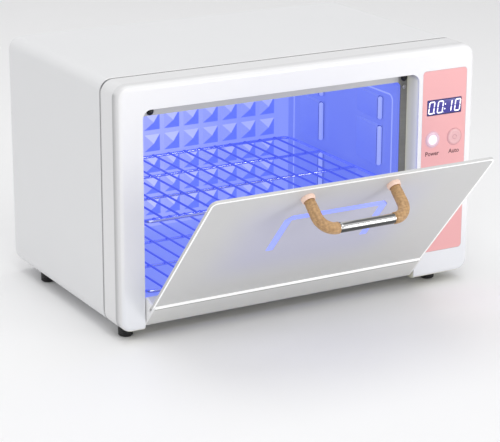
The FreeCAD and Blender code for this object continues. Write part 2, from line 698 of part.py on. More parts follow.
def make_front_bezel():
    """Moulded front frame: rounded front edge, door opening, rail recess and control face."""
    half = case_width / 2
    bezel = front_plate(
        "front_bezel",
        depth(0),
        bezel_depth,
        [rounded((-half, half), (level(0), level(case_height)), corner_radius)],
    )
    front_y = depth(0).value
    rim = [
        f"Edge{number}"
        for number, edge in enumerate(bezel.Shape.Edges, 1)
        if all(abs(vertex.Y - front_y) < TOUCH for vertex in edge.Vertexes)
    ]
    block = bezel.Tip
    rounding = bezel.newObject("PartDesign::Fillet", "bezel_rounding")
    rounding.Base = (block, rim)
    bind(rounding, "Radius", edge_round)
    doc.recompute()

    sides = (-opening_left, Size.of(opening_right))
    front_cut(
        bezel,
        "opening",
        depth(0),
        bezel_depth,
        [rounded(sides, (level(sill_height), level(opening_top)), opening_round)],
    )
    recess = polygon([
        (sides[0], level(-1)),
        (sides[1], level(-1)),
        (sides[1], level(sill_height + opening_round + 1)),
        (sides[0], level(sill_height + opening_round + 1)),
    ])
    front_cut(bezel, "recess", depth(0), rail_recess, [recess])

    left, right = bezel_wall - half, half - bezel_wall
    low, high = level(corner_radius + hollow_low), level(case_height - bezel_wall)
    chamfer = corner_radius - bezel_wall - 2
    inner = (-opening_left - bezel_wall, opening_right + bezel_wall)
    over = level(opening_top + bezel_wall)
    hollow = sketch_on(bezel, "XZ_Plane", depth(bezel_depth), "hollow")
    draw_outline(hollow, [
        (left, low),
        (inner[0], low),
        (inner[0], over),
        (inner[1], over),
        (inner[1], low),
        (right, low),
        (right, high - chamfer),
        (right - chamfer, high),
        (left + chamfer, high),
        (left, high - chamfer),
    ])
    pocket(bezel, hollow, bezel_depth - bezel_face, towards_normal=True)

    front_cut(bezel, "fascia", depth(0), fascia_thick, [fascia_outline(0)])
    holes = [window_outline(-window_ledge)]
    holes += [round_hole(x, level(button_z), button_radius + button_gap) for _, x in BUTTONS]
    front_cut(bezel, "controls", depth(0), bezel_face + 1, holes)
    for name, x in (("left", sides[0] - pin_grip), ("right", sides[1])):
        bore = sketch_on(bezel, "YZ_Plane", x + pin_grip, f"{name}_bore")
        draw_circle(bore, depth(hinge_inset), level(hinge_rise), pin_radius)
        pocket(bezel, bore, pin_grip)
    foot_holes(bezel, "front", foot_bite)


def fascia_outline(margin):
    half_width = fascia_width / 2 - margin
    half_height = fascia_height / 2 - margin
    return rounded(
        (fascia_x - half_width, fascia_x + half_width),
        (level(fascia_z - half_height), level(fascia_z + half_height)),
        fascia_round,
    )


def window_outline(margin):
    half_width = window_width / 2 + margin
    half_height = window_height / 2 + margin
    return rounded(
        (fascia_x - half_width, fascia_x + half_width),
        (level(window_z - half_height), level(window_z + half_height)),
        1,
    )


BUTTONS = [("power", fascia_x - button_offset), ("auto", fascia_x + button_offset)]
FEET = [
    (f"{row}_{side}", x, y)
    for row, y in (
        ("front", depth(foot_front)),
        ("rear", depth(total_depth - foot_inset_rear)),
    )
    for side, x in (
        ("left", foot_inset_left - case_width / 2),
        ("right", case_width / 2 - foot_inset_right),
    )
]


def make_feet():
    """Four turned rubber feet with a recess for their screw heads."""
    screws = []
    for name, x, y in FEET:
        foot = rod(f"foot_{name}_blank", "z", (x, y, Size.of(0)), foot_radius, foot_height)
        taper = foot_radius - 1
        ring = doc.addObject("Part::Cone", f"foot_{name}_base")
        bind(ring, "Radius1", taper)
        bind(ring, "Radius2", foot_radius)
        bind(ring, "Height", foot_height / 4)
        seat(ring, x, y, Size.of(0))
        upper = box(
            f"foot_{name}_keep",
            (x - foot_radius, x + foot_radius),
            (y - foot_radius, y + foot_radius),
            (foot_height / 4, foot_height),
        )
        common = doc.addObject("Part::MultiCommon", f"foot_{name}_upper")
        common.Shapes = [foot, upper]
        solid = fuse(f"foot_{name}_solid", [common, ring])
        head = rod(f"foot_{name}_well", "z", (x, y, Size.of(-1)), foot_well_radius,
                   foot_well_depth + 1)
        shank = rod(f"foot_{name}_bore", "z", (x, y, Size.of(-1)), screw_radius, foot_height + 2)
        keep(cut(f"foot_{name}", solid, [fuse(f"foot_{name}_hole", [head, shank])]),
             f"foot_{name}")
        cap = rod(f"foot_screw_{name}_head", "z", (x, y, foot_well_depth - foot_head),
                  foot_well_radius - head_play, foot_head)
        start = foot_well_depth - foot_head / 4
        stem = rod(f"foot_screw_{name}_stem", "z", (x, y, start), screw_radius - fit_gap,
                   foot_height + foot_bite - fit_gap - start)
        screws.append(fuse(f"foot_screw_{name}", [cap, stem]))
    keep(group("foot_screws", screws), "foot_screws")


# --- cavity ---------------------------------------------------------------------------------
def make_cavity_shell():
    """Steel chamber: floor, ceiling and both sides, with the lamp opening in the ceiling."""
    outer_x = (-cavity_left - cavity_steel, cavity_right + cavity_steel)
    outer_z = (level(cavity_floor - cavity_steel), level(cavity_top + cavity_steel))
    front = depth(flange_depth + flange_steel)
    length = cavity_back - flange_depth - flange_steel
    shell = front_plate(
        "cavity_shell",
        front,
        length,
        [
            rounded(outer_x, outer_z, cavity_round + cavity_steel),
            rounded(
                (-cavity_left, Size.of(cavity_right)),
                (level(cavity_floor), level(cavity_top)),
                cavity_round,
            ),
        ],
    )
    lamp_hole = sketch_on(shell, "XY_Plane", level(cavity_top + cavity_steel + 1), "lamp_hole")
    draw_rounded(lamp_hole, tray_x(tray_lip), tray_y(tray_lip), tray_lip)
    pocket(shell, lamp_hole, cavity_steel + 2)


def tray_x(margin):
    half = lamp_length / 2 + socket_length + tray_lip - margin
    return (cavity_mid - half, cavity_mid + half)


def tray_y(margin):
    half = lamp_pitch / 2 + tray_side - margin
    return (depth(lamp_centre - half), depth(lamp_centre + half))


def make_rear_wall():
    """Rear reflector: a steel sheet embossed with rows of pyramids that scatter the light."""
    wall = front_plate(
        "cavity_rear_wall",
        depth(cavity_back),
        cavity_steel,
        [
            rounded(
                (-cavity_left - cavity_steel, cavity_right + cavity_steel),
                (level(cavity_floor - cavity_steel), level(cavity_top + cavity_steel)),
                cavity_round + cavity_steel,
            )
        ],
    )
    stud = wall.newObject("PartDesign::AdditiveWedge", "stud")
    for low, high in (("Xmin", "Xmax"), ("Zmin", "Zmax")):
        setattr(stud, low, 0)
        bind(stud, high, stud_base)
    for prop in ("X2min", "X2max", "Z2min", "Z2max"):
        bind(stud, prop, stud_base / 2)
    stud.Ymin = 0
    bind(stud, "Ymax", stud_rise)
    turn = FreeCAD.Rotation(FreeCAD.Vector(1, 0, 0), 180)
    stud.Placement = FreeCAD.Placement(FreeCAD.Vector(), turn)
    grid_width = stud_pitch * (STUD_COLUMNS - 1) + stud_base
    grid_height = stud_pitch * (STUD_ROWS - 1) + stud_base
    seat(stud, cavity_mid - grid_width / 2, depth(cavity_back),
         level((cavity_top + cavity_floor - grid_height) / 2) + stud_base)
    doc.recompute()
    pattern = wall.newObject("PartDesign::MultiTransform", "stud_grid")
    pattern.Originals = [stud]
    rows = []
    counts = (("X_Axis", STUD_COLUMNS), ("Z_Axis", STUD_ROWS))
    for axis, count in counts:
        row = wall.newObject("PartDesign::LinearPattern", f"studs_along_{axis[0]}")
        row.Direction = (plane(wall, axis), [""])
        bind(row, "Length", stud_pitch * (count - 1))
        row.Occurrences = count
        rows.append(row)
    pattern.Transformations = rows
    wall.Tip = pattern
    doc.recompute()


STUD_MARGIN_SIDE = 15
STUD_MARGIN_LEVEL = 10


def studs_in(length, margin):
    """How many pyramids fit in a length, with at least a margin at each end."""
    return int((length - margin * 2 - stud_base).value // stud_pitch.value) + 1


STUD_COLUMNS = studs_in(cavity_left + cavity_right, STUD_MARGIN_SIDE)
STUD_ROWS = studs_in(cavity_top - cavity_floor, STUD_MARGIN_LEVEL)


def make_side_panel(label, wall_x, inward):
    """Side liner with the stamped pads between which the racks are carried."""
    face = wall_x + inward * liner_steel
    sheet_x = (wall_x, face) if inward > 0 else (face, wall_x)
    skin = box(
        f"{label}_skin",
        sheet_x,
        (depth(flange_depth + liner_front), depth(cavity_back - 1)),
        (level(cavity_floor + cavity_round + liner_gap), level(cavity_top - cavity_round - liner_gap)),
    )
    tip = face + inward * pad_reach
    pad_x = (face, tip) if inward > 0 else (tip, face)
    shapes = [skin]
    bands = (
        (cavity_floor + cavity_round + liner_gap, low_seat),
        (low_seat + rack_slot + 2, mid_seat),
        (mid_seat + rack_slot, mid_seat + rack_slot + pad_height),
        (cavity_top - pad_top_gap - pad_top_height, cavity_top - pad_top_gap),
    )
    for column, start in (("front", pad_front), ("rear", pad_rear)):
        for index, (low, high) in enumerate(bands):
            top = Size.of(high)
            shapes.append(
                box(
                    f"{label}_{column}_{index}",
                    pad_x,
                    (depth(start), depth(start + pad_length)),
                    (level(low), level(top)),
                )
            )
    keep(fuse(label, shapes), label)


def make_flange():
    """Steel frame that closes the gap between the chamber and the front frame."""
    frame = front_plate(
        "cavity_flange",
        depth(flange_depth),
        flange_steel,
        [
            rounded(
                (-opening_left + fit_gap, opening_right - fit_gap),
                (level(sill_height + fit_gap), level(opening_top - fit_gap)),
                opening_round,
            ),
            rounded(
                (-cavity_left, Size.of(cavity_right)),
                (level(cavity_floor), level(cavity_top)),
                cavity_round,
            ),
        ],
    )
    holes = [round_hole(x, z, screw_radius) for x, z in FLANGE_SCREWS]
    front_cut(frame, "screw_holes", depth(flange_depth), flange_steel, holes)
    screws = []
    for index, (x, z) in enumerate(FLANGE_SCREWS):
        y = depth(flange_depth - flange_head)
        head = rod(f"flange_screw_head_{index}", "y", (x, y, z), flange_head_radius, flange_head)
        stem = rod(f"flange_screw_stem_{index}", "y", (x, y, z), screw_radius,
                   flange_steel + flange_head + 2)
        screws.append(fuse(f"flange_screw_{index}", [head, stem]))
    keep(group("flange_screws", screws), "flange_screws")


RIGHT_STRIP = (opening_right + cavity_right) / 2
LEFT_STRIP = -(opening_left + cavity_left) / 2
FLANGE_SCREWS = [
    (RIGHT_STRIP, level(opening_top - flange_screw_drop)),
    (RIGHT_STRIP, level(flange_screw_rise)),
    (LEFT_STRIP, level(opening_top - flange_screw_drop)),
    (LEFT_STRIP, level(flange_screw_rise)),
]


def make_bumpers():
    """Black round door buffers in the upper corners of the flange."""
    places = (("left", -cavity_left + bumper_inset), ("right", RIGHT_STRIP - bumper_shift))
    for side, x in places:
        z = level((opening_top + cavity_top) / 2 - bumper_drop)
        y = depth(flange_depth - bumper_length)
        keep(rod(f"bumper_{side}", "y", (x, y, z), bumper_radius, bumper_length),
             f"bumper_{side}")


def make_rack(label, seat_height):
    """Wire rack: a bent outer loop, two cross wires and a grid of rods from front to back."""
    z = level(seat_height + rack_lift) + rack_wire / 2
    inset = rack_side_gap + rack_wire / 2 + liner_steel
    left, right = -cavity_left + inset, cavity_right - inset
    front, back = depth(rack_front), depth(rack_back)
    radius = rack_wire / 2
    shapes = []
    for index, y in enumerate((front, back)):
        shapes.append(rod(f"{label}_cross_{index}", "x", (left + rack_round, y, z), radius,
                          right - left - rack_round * 2))
    for index, x in enumerate((left, right)):
        shapes.append(rod(f"{label}_side_{index}", "y", (x, front + rack_round, z), radius,
                          back - front - rack_round * 2))
    corners = (
        (left + rack_round, front + rack_round, 180),
        (right - rack_round, front + rack_round, 270),
        (right - rack_round, back - rack_round, 0),
        (left + rack_round, back - rack_round, 90),
    )
    for index, (x, y, angle) in enumerate(corners):
        shapes.append(bend(f"{label}_corner_{index}", (x, y, z), rack_round, radius, angle))
    for index in (1, 2):
        y = front + (back - front) * (index / 3)
        shapes.append(rod(f"{label}_mid_{index}", "x", (left, y, z), radius, right - left))
    step = (right - left) / rack_spaces
    top = z + rack_wire / 2 + rack_rod / 2 - weld_sink
    for index in range(1, rack_spaces):
        shapes.append(rod(f"{label}_rod_{index}", "y", (left + step * index, front, top),
                          rack_rod / 2, back - front))
    keep(fuse(label, shapes), label)


# --- lamps and electrics --------------------------------------------------------------------
def make_lamps():
    """Two tube lamps between a pair of sockets, under a bent reflector tray."""
    low = level(cavity_top + cavity_steel)
    wall = case_wall / 2
    shell = box("tray_blank", tray_x(0), tray_y(0), (low, low + tray_height))
    inside = box("tray_inside", tray_x(wall), tray_y(wall), (low - 1, low + tray_height - wall))
    keep(cut("reflector_tray", shell, [inside]), "reflector_tray")
    z = low + tray_height / 2 - 1
    start = cavity_mid - lamp_length / 2
    for name, sign in (("front", -1), ("rear", 1)):
        y = depth(lamp_centre) + sign * lamp_pitch / 2
        tube = rod(f"lamp_{name}_tube", "x", (start + lamp_cap, y, z),
                   lamp_radius - lamp_cap_step, lamp_length - lamp_cap * 2)
        caps = [
            rod(f"lamp_{name}_cap_{index}", "x", (x, y, z), lamp_radius, lamp_cap)
            for index, x in enumerate((start, start + lamp_length - lamp_cap))
        ]
        keep(fuse(f"uv_lamp_{name}", [tube, *caps]), f"uv_lamp_{name}")
    half = lamp_pitch / 2 + lamp_radius + socket_margin
    for name, x in (("left", start - socket_length), ("right", start + lamp_length)):
        keep(
            box(
                f"lamp_socket_{name}",
                (x, x + socket_length),
                (depth(lamp_centre - half), depth(lamp_centre + half)),
                (z - lamp_radius - socket_margin / 2, low + tray_height - wall),
            ),
            f"lamp_socket_{name}",
        )


def make_controls():
    """Fascia, display window and module, buttons, their switches and the control board."""
    holes = [window_outline(0)]
    holes += [round_hole(x, level(button_z), button_radius + button_gap) for _, x in BUTTONS]
    front_plate("control_fascia", depth(0), fascia_thick, [fascia_outline(fit_gap), *holes])
    front_plate("display_window", depth(window_recess), fascia_thick - window_recess,
                [window_outline(-fit_gap)])
    half_width = window_width / 2 - 2
    half_height = window_height / 2 - 2
    keep(
        box(
            "display_module",
            (fascia_x - half_width, fascia_x + half_width),
            (depth(fascia_thick + fit_gap), depth(board_depth)),
            (level(window_z - half_height), level(window_z + half_height)),
        ),
        "display_module",
    )
    z = level(button_z)
    for name, x in BUTTONS:
        cap = rod(f"{name}_cap", "y", (x, depth(-button_proud), z), button_radius,
                  bezel_face + button_proud + fit_gap * 2)
        rim = rod(f"{name}_rim", "y", (x, depth(bezel_face + fit_gap), z),
                  button_radius + rim_width, rim_width)
        stem = rod(f"{name}_stem", "y", (x, depth(bezel_face + 1), z), stem_radius, stem_end - 1)
        keep(fuse(f"{name}_button", [cap, rim, stem]), f"{name}_button")
        switch = box(
            f"{name}_switch_body",
            (x - switch_half, x + switch_half),
            (depth(board_depth - switch_depth), depth(board_depth)),
            (z - switch_half, z + switch_half),
        )
        plunger_start = bezel_face + stem_end + button_travel + fit_gap / 2
        plunger = rod(f"{name}_plunger", "y", (x, depth(plunger_start), z), plunger_radius,
                      board_depth - plunger_start - switch_depth / 2)
        keep(fuse(f"{name}_switch", [switch, plunger]), f"{name}_switch")
    board_half = fascia_width / 2 - board_side
    board = box(
        "board_blank",
        (fascia_x - board_half, fascia_x + board_half),
        (depth(board_depth), depth(board_depth + board_thick)),
        (level(button_z - board_below), level(window_z + board_above)),
    )
    corners = [
        (fascia_x + sign * (board_half - board_screw_side), level(height))
        for sign in (-1, 1)
        for height in (
            button_z - board_below + board_edge,
            (button_z + window_z) / 2,
        )
    ]
    bores = [
        rod(f"board_bore_{index}", "y", (x, depth(board_depth - 1), z), screw_radius,
            board_thick + 2)
        for index, (x, z) in enumerate(corners)
    ]
    keep(cut("control_board", board, bores), "control_board")
    posts = []
    for index, (x, z) in enumerate(corners):
        post = rod(f"post_{index}", "y", (x, depth(bezel_face), z), post_radius,
                   board_depth - bezel_face)
        bore = rod(f"post_bore_{index}", "y", (x, depth(bezel_face + 2), z), screw_radius,
                   board_depth)
        posts.append(cut(f"board_post_{index}", post, [bore]))
    keep(group("board_posts", posts), "board_posts")
    screws = []
    for index, (x, z) in enumerate(corners):
        back = board_depth + board_thick
        head = rod(f"board_screw_head_{index}", "y", (x, depth(back), z), board_head_radius,
                   board_head)
        stem = rod(f"board_screw_stem_{index}", "y", (x, depth(back - board_screw_length), z),
                   screw_radius, board_screw_length + board_head / 2)
        screws.append(fuse(f"board_screw_{index}", [head, stem]))
    keep(group("board_screws", screws), "board_screws")


def make_electrics():
    """Ballast and power board on the base pan, mains inlet, fuse and door sensor."""
    floor = level(case_wall * 2)
    left = cavity_right + cavity_steel + electrics_gap
    keep(
        box(
            "lamp_ballast",
            (left, left + ballast_width),
            (depth(total_depth / 4), depth(total_depth / 4 + ballast_length)),
            (floor, floor + ballast_height),
        ),
        "lamp_ballast",
    )
    power_back = total_depth - power_rear_gap
    power_front = power_back - power_length
    top = level(power_rise + board_thick)
    board = box("power_blank", (left, left + power_width), (depth(power_front), depth(power_back)),
                (level(power_rise), top))
    coil_x = left + part_gap
    relay_x = coil_x + coil_width + part_gap
    part_front = power_front + part_gap + 1
    blocks = [
        box("power_coil", (coil_x, coil_x + coil_width),
            (depth(part_front), depth(part_front + coil_length)), (top, top + coil_height)),
        box("power_relay", (relay_x, relay_x + relay_width),
            (depth(part_front), depth(part_front + relay_length)), (top, top + relay_height)),
        rod("power_cap", "z", (coil_x + coil_width / 2, depth(power_back - capacitor_rear), top),
            capacitor_radius, capacitor_height),
    ]
    keep(fuse("power_board", [board, *blocks]), "power_board")
    bracket_x = left + power_width - bracket_width
    bracket_foot = box("bracket_foot", (bracket_x, bracket_x + bracket_width),
                       (depth(power_front), depth(power_back)), (floor, floor + case_wall))
    bracket_wall = box("bracket_wall", (bracket_x, bracket_x + case_wall),
                       (depth(power_front), depth(power_back)), (floor, level(power_rise)))
    keep(fuse("board_bracket", [bracket_foot, bracket_wall]), "board_bracket")
    back = total_depth - rear_recess
    body = box("inlet_body", inlet_side(fit_gap),
               (depth(back - inlet_deep), depth(total_depth - inlet_inset)), inlet_level(fit_gap))
    rim = box("inlet_edge", inlet_side(-inlet_rim), (depth(back - 2), depth(back)),
              inlet_level(-inlet_rim))
    middle = level(inlet_rise)
    wells = [
        rod(f"inlet_well_{index}", "y", (inlet_x + shift, depth(back - well_deep), middle),
            well_radius, well_deep + cut_past)
        for index, shift in enumerate((-well_shift, well_shift))
    ]
    pin_places = [inlet_x + shift for shift in (-contact_shift, contact_shift)]
    pins = [
        rod(f"inlet_pin_{index}", "y", (x, depth(back - contact_length - 1), middle),
            contact_radius, contact_length)
        for index, x in enumerate(pin_places)
    ]
    sleeves = [
        rod(f"inlet_sleeve_{index}", "y", (x, depth(back - inlet_deep - 1), middle),
            contact_radius, inlet_deep - well_deep + 2)
        for index, x in enumerate(pin_places)
    ]
    block = cut("inlet_block", fuse("inlet_solid", [body, rim]), [fuse("inlet_eight", wells)])
    keep(cut("mains_inlet", block, sleeves), "mains_inlet")
    keep(group("inlet_pins", pins), "inlet_pins")
    fuse_back = power_back - fuse_rear
    fuse_place = (coil_x + 2, depth(fuse_back), floor + holder_height + fuse_radius)
    keep(rod("fuse", "x", fuse_place, fuse_radius, fuse_length), "fuse")
    holder = box("fuse_block", (coil_x, coil_x + fuse_length + part_gap),
                 (depth(fuse_back - holder_half), depth(fuse_back + holder_half)),
                 (floor, floor + holder_height))
    keep(holder, "fuse_holder")
    sensor_x = -opening_left - bezel_wall
    sensor_low = corner_radius + hollow_low
    keep(
        box("door_sensor", (sensor_x - sensor_width, sensor_x),
            (depth(bezel_face + 2), depth(flange_depth)),
            (level(sensor_low), level(sensor_low + sensor_height))),
        "door_sensor",
    )


# --- door -----------------------------------------------------------------------------------
door_left = -opening_left + door_gap
door_right = opening_right - door_gap


def rail_outline():
    """Cross-section of the rail: lip in front of the panel groove and a sloping top."""
    face = depth(0)
    back = depth(rail_depth)
    low, high = level(door_bottom), level(door_bottom + rail_height)
    groove_front = depth(panel_inset - groove_play)
    groove_back = depth(panel_inset + panel_thick + groove_play)
    groove_low = high - groove_depth - groove_play * 3
    return [
        (face + 1, low),
        (back - rail_bevel, low),
        (back, low + rail_bevel),
        (back, high - rail_slope),
        (groove_back, high - 1),
        (groove_back, groove_low),
        (groove_front, groove_low),
        (groove_front, high),
        (face + lip_bevel, high),
        (face, high - lip_bevel * 1.5),
        (face, low + 1),
    ]


def make_door_extrusion(label, x, hollow):
    """Length of the rail's section across the door, with its hinge bores."""
    body = doc.addObject("PartDesign::Body", label)
    sketch = sketch_on(body, "YZ_Plane", x[0], "section")
    draw_outline(sketch, rail_outline())
    pad(body, sketch, x[1] - x[0])
    if hollow:
        core = sketch_on(body, "YZ_Plane", x[1], "core")
        low = level(hinge_rise) + bush_radius + rail_wall
        high = level(door_bottom + rail_height) - rail_slope - rail_wall
        start = depth(panel_inset + panel_thick + groove_play) + rail_wall
        end = depth(rail_depth) - rail_wall
        draw_outline(core, [(start, low), (end, low), (end, high), (start, high)])
        pocket(body, core, x[1] - x[0])
    for name, plane_x, radius in hinge_bores(x, hollow):
        bore = sketch_on(body, "YZ_Plane", plane_x[1], f"{name}_bore")
        draw_circle(bore, depth(hinge_inset), level(hinge_rise), radius)
        pocket(body, bore, plane_x[1] - plane_x[0])
    return keep(hang_on_hinge(body), label)


def hinge_bores(x, hollow):
    if not hollow:
        return [("pin", x, pin_radius + pin_play)]
    deep = bush_length + 2
    return [
        ("left", (x[0], x[0] + deep), bush_radius),
        ("right", (x[1] - deep, x[1]), bush_radius),
    ]


def make_door():
    """Drop-down door: panel, hollow rail with end caps, hinge bushes and light strip."""
    rail_x = (door_left + cap_thick, door_right - cap_thick)
    make_door_extrusion("door_rail", rail_x, True)
    make_door_extrusion("door_end_cap_left", (door_left, rail_x[0]), False)
    make_door_extrusion("door_end_cap_right", (rail_x[1], door_right), False)
    panel = front_plate(
        "door_panel",
        depth(panel_inset),
        panel_thick,
        [
            rounded(
                (door_left + fit_gap, door_right - fit_gap),
                (level(door_bottom + rail_height - groove_depth), level(door_top)),
                door_round,
            )
        ],
    )
    square = polygon(strip_outline(fit_gap / 2))
    holes = [round_hole(x, level(grip_height), grip_screw + fit_gap) for x in GRIP_POSTS]
    front_cut(panel, "cut_outs", depth(panel_inset), panel_thick, [square, *holes])
    hang_on_hinge(panel)
    strip = front_plate(
        "door_light_strip", depth(panel_inset + fit_gap / 2), panel_thick - fit_gap,
        [polygon(strip_outline(0))],
    )
    hang_on_hinge(strip)
    y, z = depth(hinge_inset), level(hinge_rise)
    for side, x in (("left", rail_x[0]), ("right", rail_x[1] - bush_length)):
        blank = rod(f"bush_{side}_blank", "x", (x, y, z), bush_radius, bush_length)
        bore = rod(f"bush_{side}_bore", "x", (x - 1, y, z), pin_radius + pin_play,
                   bush_length + 2)
        keep(hang_on_hinge(cut(f"hinge_bush_{side}", blank, [bore])), f"hinge_bush_{side}")
    length = pin_grip + pin_reach
    starts = (("left", -opening_left - pin_grip), ("right", opening_right - pin_reach))
    for side, x in starts:
        keep(rod(f"hinge_pin_{side}", "x", (x, y, z), pin_radius, length), f"hinge_pin_{side}")
    magnet_y = depth(rail_depth - rail_wall - magnet_radius - magnet_clear)
    magnet_z = level(hinge_rise) + bush_radius + rail_wall + magnet_radius + fit_gap
    magnet = rod("magnet_solid", "x", (rail_x[0], magnet_y, magnet_z), magnet_radius,
                 magnet_length)
    keep(hang_on_hinge(group("door_magnet", [magnet])), "door_magnet")


def strip_outline(margin):
    """Inverted U of the light strip, bevelled at its upper corners."""
    half = inlay_span / 2
    wide = inlay_width / 2
    middle = -grip_centre
    low, high = level(inlay_low) - margin, level(inlay_high) + margin
    inner_high = level(inlay_high) - inlay_width - margin
    out = half + wide + margin
    into = half - wide - margin
    bevel = inlay_width * BEVEL_SHARE
    return [
        (middle - out, low),
        (middle - into, low),
        (middle - into, inner_high),
        (middle + into, inner_high),
        (middle + into, low),
        (middle + out, low),
        (middle + out, high - bevel),
        (middle + out - bevel, high),
        (middle - out + bevel, high),
        (middle - out, high - bevel),
    ]


GRIP_POSTS = [-grip_centre - grip_span / 2, -grip_centre + grip_span / 2]


def make_handle():
    """Bow handle: turned collars, bent wooden arms, chrome bar and two screws."""
    z = level(grip_height)
    face = panel_inset
    bar_y = depth(face - grip_stand)
    collar_y = depth(face - collar_length)
    screws = []
    for side, x, sign, angle in (("left", GRIP_POSTS[0], 1, 180), ("right", GRIP_POSTS[1], -1, 270)):
        turn_x = x + sign * grip_bend
        turn_y = bar_y + grip_bend
        leg = rod(f"arm_{side}_leg", "y", (x, turn_y, z), arm_radius, collar_y - turn_y)
        elbow = bend(f"arm_{side}_elbow", (turn_x, turn_y, z), grip_bend, arm_radius, angle)
        end_length = (grip_span - bar_length) / 2 - grip_bend
        end_x = turn_x if sign > 0 else turn_x - end_length
        end = rod(f"arm_{side}_end", "x", (end_x, bar_y, z), arm_radius, end_length)
        bore = rod(f"arm_{side}_bore", "y", (x, collar_y - arm_bore, z), grip_screw,
                   arm_bore + collar_length)
        arm = cut(f"handle_arm_{side}", fuse(f"arm_{side}_solid", [leg, elbow, end]), [bore])
        keep(hang_on_hinge(arm), f"handle_arm_{side}")
        ring = rod(f"collar_{side}_ring", "y", (x, collar_y, z), collar_radius, collar_length)
        hole = rod(f"collar_{side}_hole", "y", (x, collar_y - 1, z), grip_screw, collar_length + 2)
        keep(hang_on_hinge(cut(f"handle_collar_{side}", ring, [hole])), f"handle_collar_{side}")
        inner = depth(face + panel_thick)
        head = rod(f"handle_screw_{side}_head", "y", (x, inner, z), grip_head_radius, grip_head)
        stem_length = panel_thick + collar_length + arm_bore - 1
        stem = rod(f"handle_screw_{side}_stem", "y", (x, inner - stem_length, z), grip_screw,
                   stem_length + grip_head / 2)
        screws.append(fuse(f"handle_screw_{side}", [head, stem]))
    keep(hang_on_hinge(group("handle_screws", screws)), "handle_screws")
    start = (-grip_centre - bar_length / 2, bar_y, z)
    bar = rod("bar_solid", "x", start, bar_radius, bar_length)
    keep(hang_on_hinge(group("handle_bar", [bar])), "handle_bar")


def make_case_screws():
    """Screws that hold the rear panel to the wrap's corner tabs."""
    screws = []
    half = case_width / 2 - case_screw_inset
    for index, (x, height) in enumerate(
        (
            (-half, case_screw_low),
            (half, case_screw_low),
            (-half, case_height - case_screw_high),
            (half, case_height - case_screw_high),
            (Size.of(0), case_height - case_screw_high / 2),
        )
    ):
        y = depth(total_depth - case_wall)
        head = rod(f"case_screw_head_{index}", "y", (x, y, level(height)), case_head_radius,
                   case_head)
        screws.append(head)
    keep(group("case_screws", screws), "case_screws")


make_case_wrap()
make_base_pan()
make_rear_panel()
make_front_bezel()
make_feet()
make_cavity_shell()
make_rear_wall()
make_side_panel("rack_support_left", -cavity_left, 1)
make_side_panel("rack_support_right", Size.of(cavity_right), -1)
make_flange()
make_bumpers()
make_rack("lower_rack", low_seat)
make_rack("upper_rack", mid_seat)
make_lamps()
make_controls()
make_electrics()
make_door()
make_handle()
make_case_screws()

doc.recompute()
failed = [
    item.Name for item in doc.Objects if "Invalid" in item.State or "Error" in item.State
]
failed += [
    item.Label for item in parts if item.Shape.isNull() or not item.Shape.isValid()
]
if failed:
    raise RuntimeError("failed objects: " + ", ".join(failed))
os.makedirs("parts", exist_ok=True)
for item in parts:
    item.Shape.exportStep(f"parts/{item.Label}.step")
    bounds = item.Shape.BoundBox
    print(f"{item.Label:22s} {item.Shape.Volume / 1000:9.2f} cm3 {len(item.Shape.Solids)} solid(s)"
          f"  x {bounds.XMin:.1f}..{bounds.XMax:.1f}  y {bounds.YMin:.1f}..{bounds.YMax:.1f}"
          f"  z {bounds.ZMin:.1f}..{bounds.ZMax:.1f}")
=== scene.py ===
"""Visual model of a countertop ultraviolet sterilizer cabinet with a drop-down door."""

import json
import logging
import math
from dataclasses import dataclass, field, replace
from enum import Enum
from typing import Callable, Iterable, Sequence, Union

import bmesh
import bpy
from mathutils import Matrix, Vector


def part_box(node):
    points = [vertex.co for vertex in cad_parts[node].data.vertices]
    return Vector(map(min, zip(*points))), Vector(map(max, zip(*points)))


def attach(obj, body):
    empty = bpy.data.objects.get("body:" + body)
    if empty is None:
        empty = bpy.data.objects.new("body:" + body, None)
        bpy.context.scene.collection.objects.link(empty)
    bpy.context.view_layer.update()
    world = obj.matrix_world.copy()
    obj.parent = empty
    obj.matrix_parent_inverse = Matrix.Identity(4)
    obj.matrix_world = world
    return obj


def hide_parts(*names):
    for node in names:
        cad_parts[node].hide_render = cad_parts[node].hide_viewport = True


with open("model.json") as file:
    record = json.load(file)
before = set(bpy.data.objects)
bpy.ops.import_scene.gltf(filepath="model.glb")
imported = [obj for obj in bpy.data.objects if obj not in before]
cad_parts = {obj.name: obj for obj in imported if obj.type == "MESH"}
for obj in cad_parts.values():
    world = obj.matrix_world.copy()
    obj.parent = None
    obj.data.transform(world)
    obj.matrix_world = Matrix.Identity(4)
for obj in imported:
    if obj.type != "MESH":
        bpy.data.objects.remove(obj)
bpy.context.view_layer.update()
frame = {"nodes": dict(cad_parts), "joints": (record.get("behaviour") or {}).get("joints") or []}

LOG = logging.getLogger("sterilizer")
MM = 0.001
FRONT_Y = -0.120
Colour = tuple[float, float, float]
Point = tuple[float, float, float]


class Body(Enum):
    """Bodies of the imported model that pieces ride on."""

    CABINET = "cabinet"
    DOOR = "door"
    POWER = "power_button"
    AUTO = "auto_button"
    UPPER = "upper_rack"
    LOWER = "lower_rack"


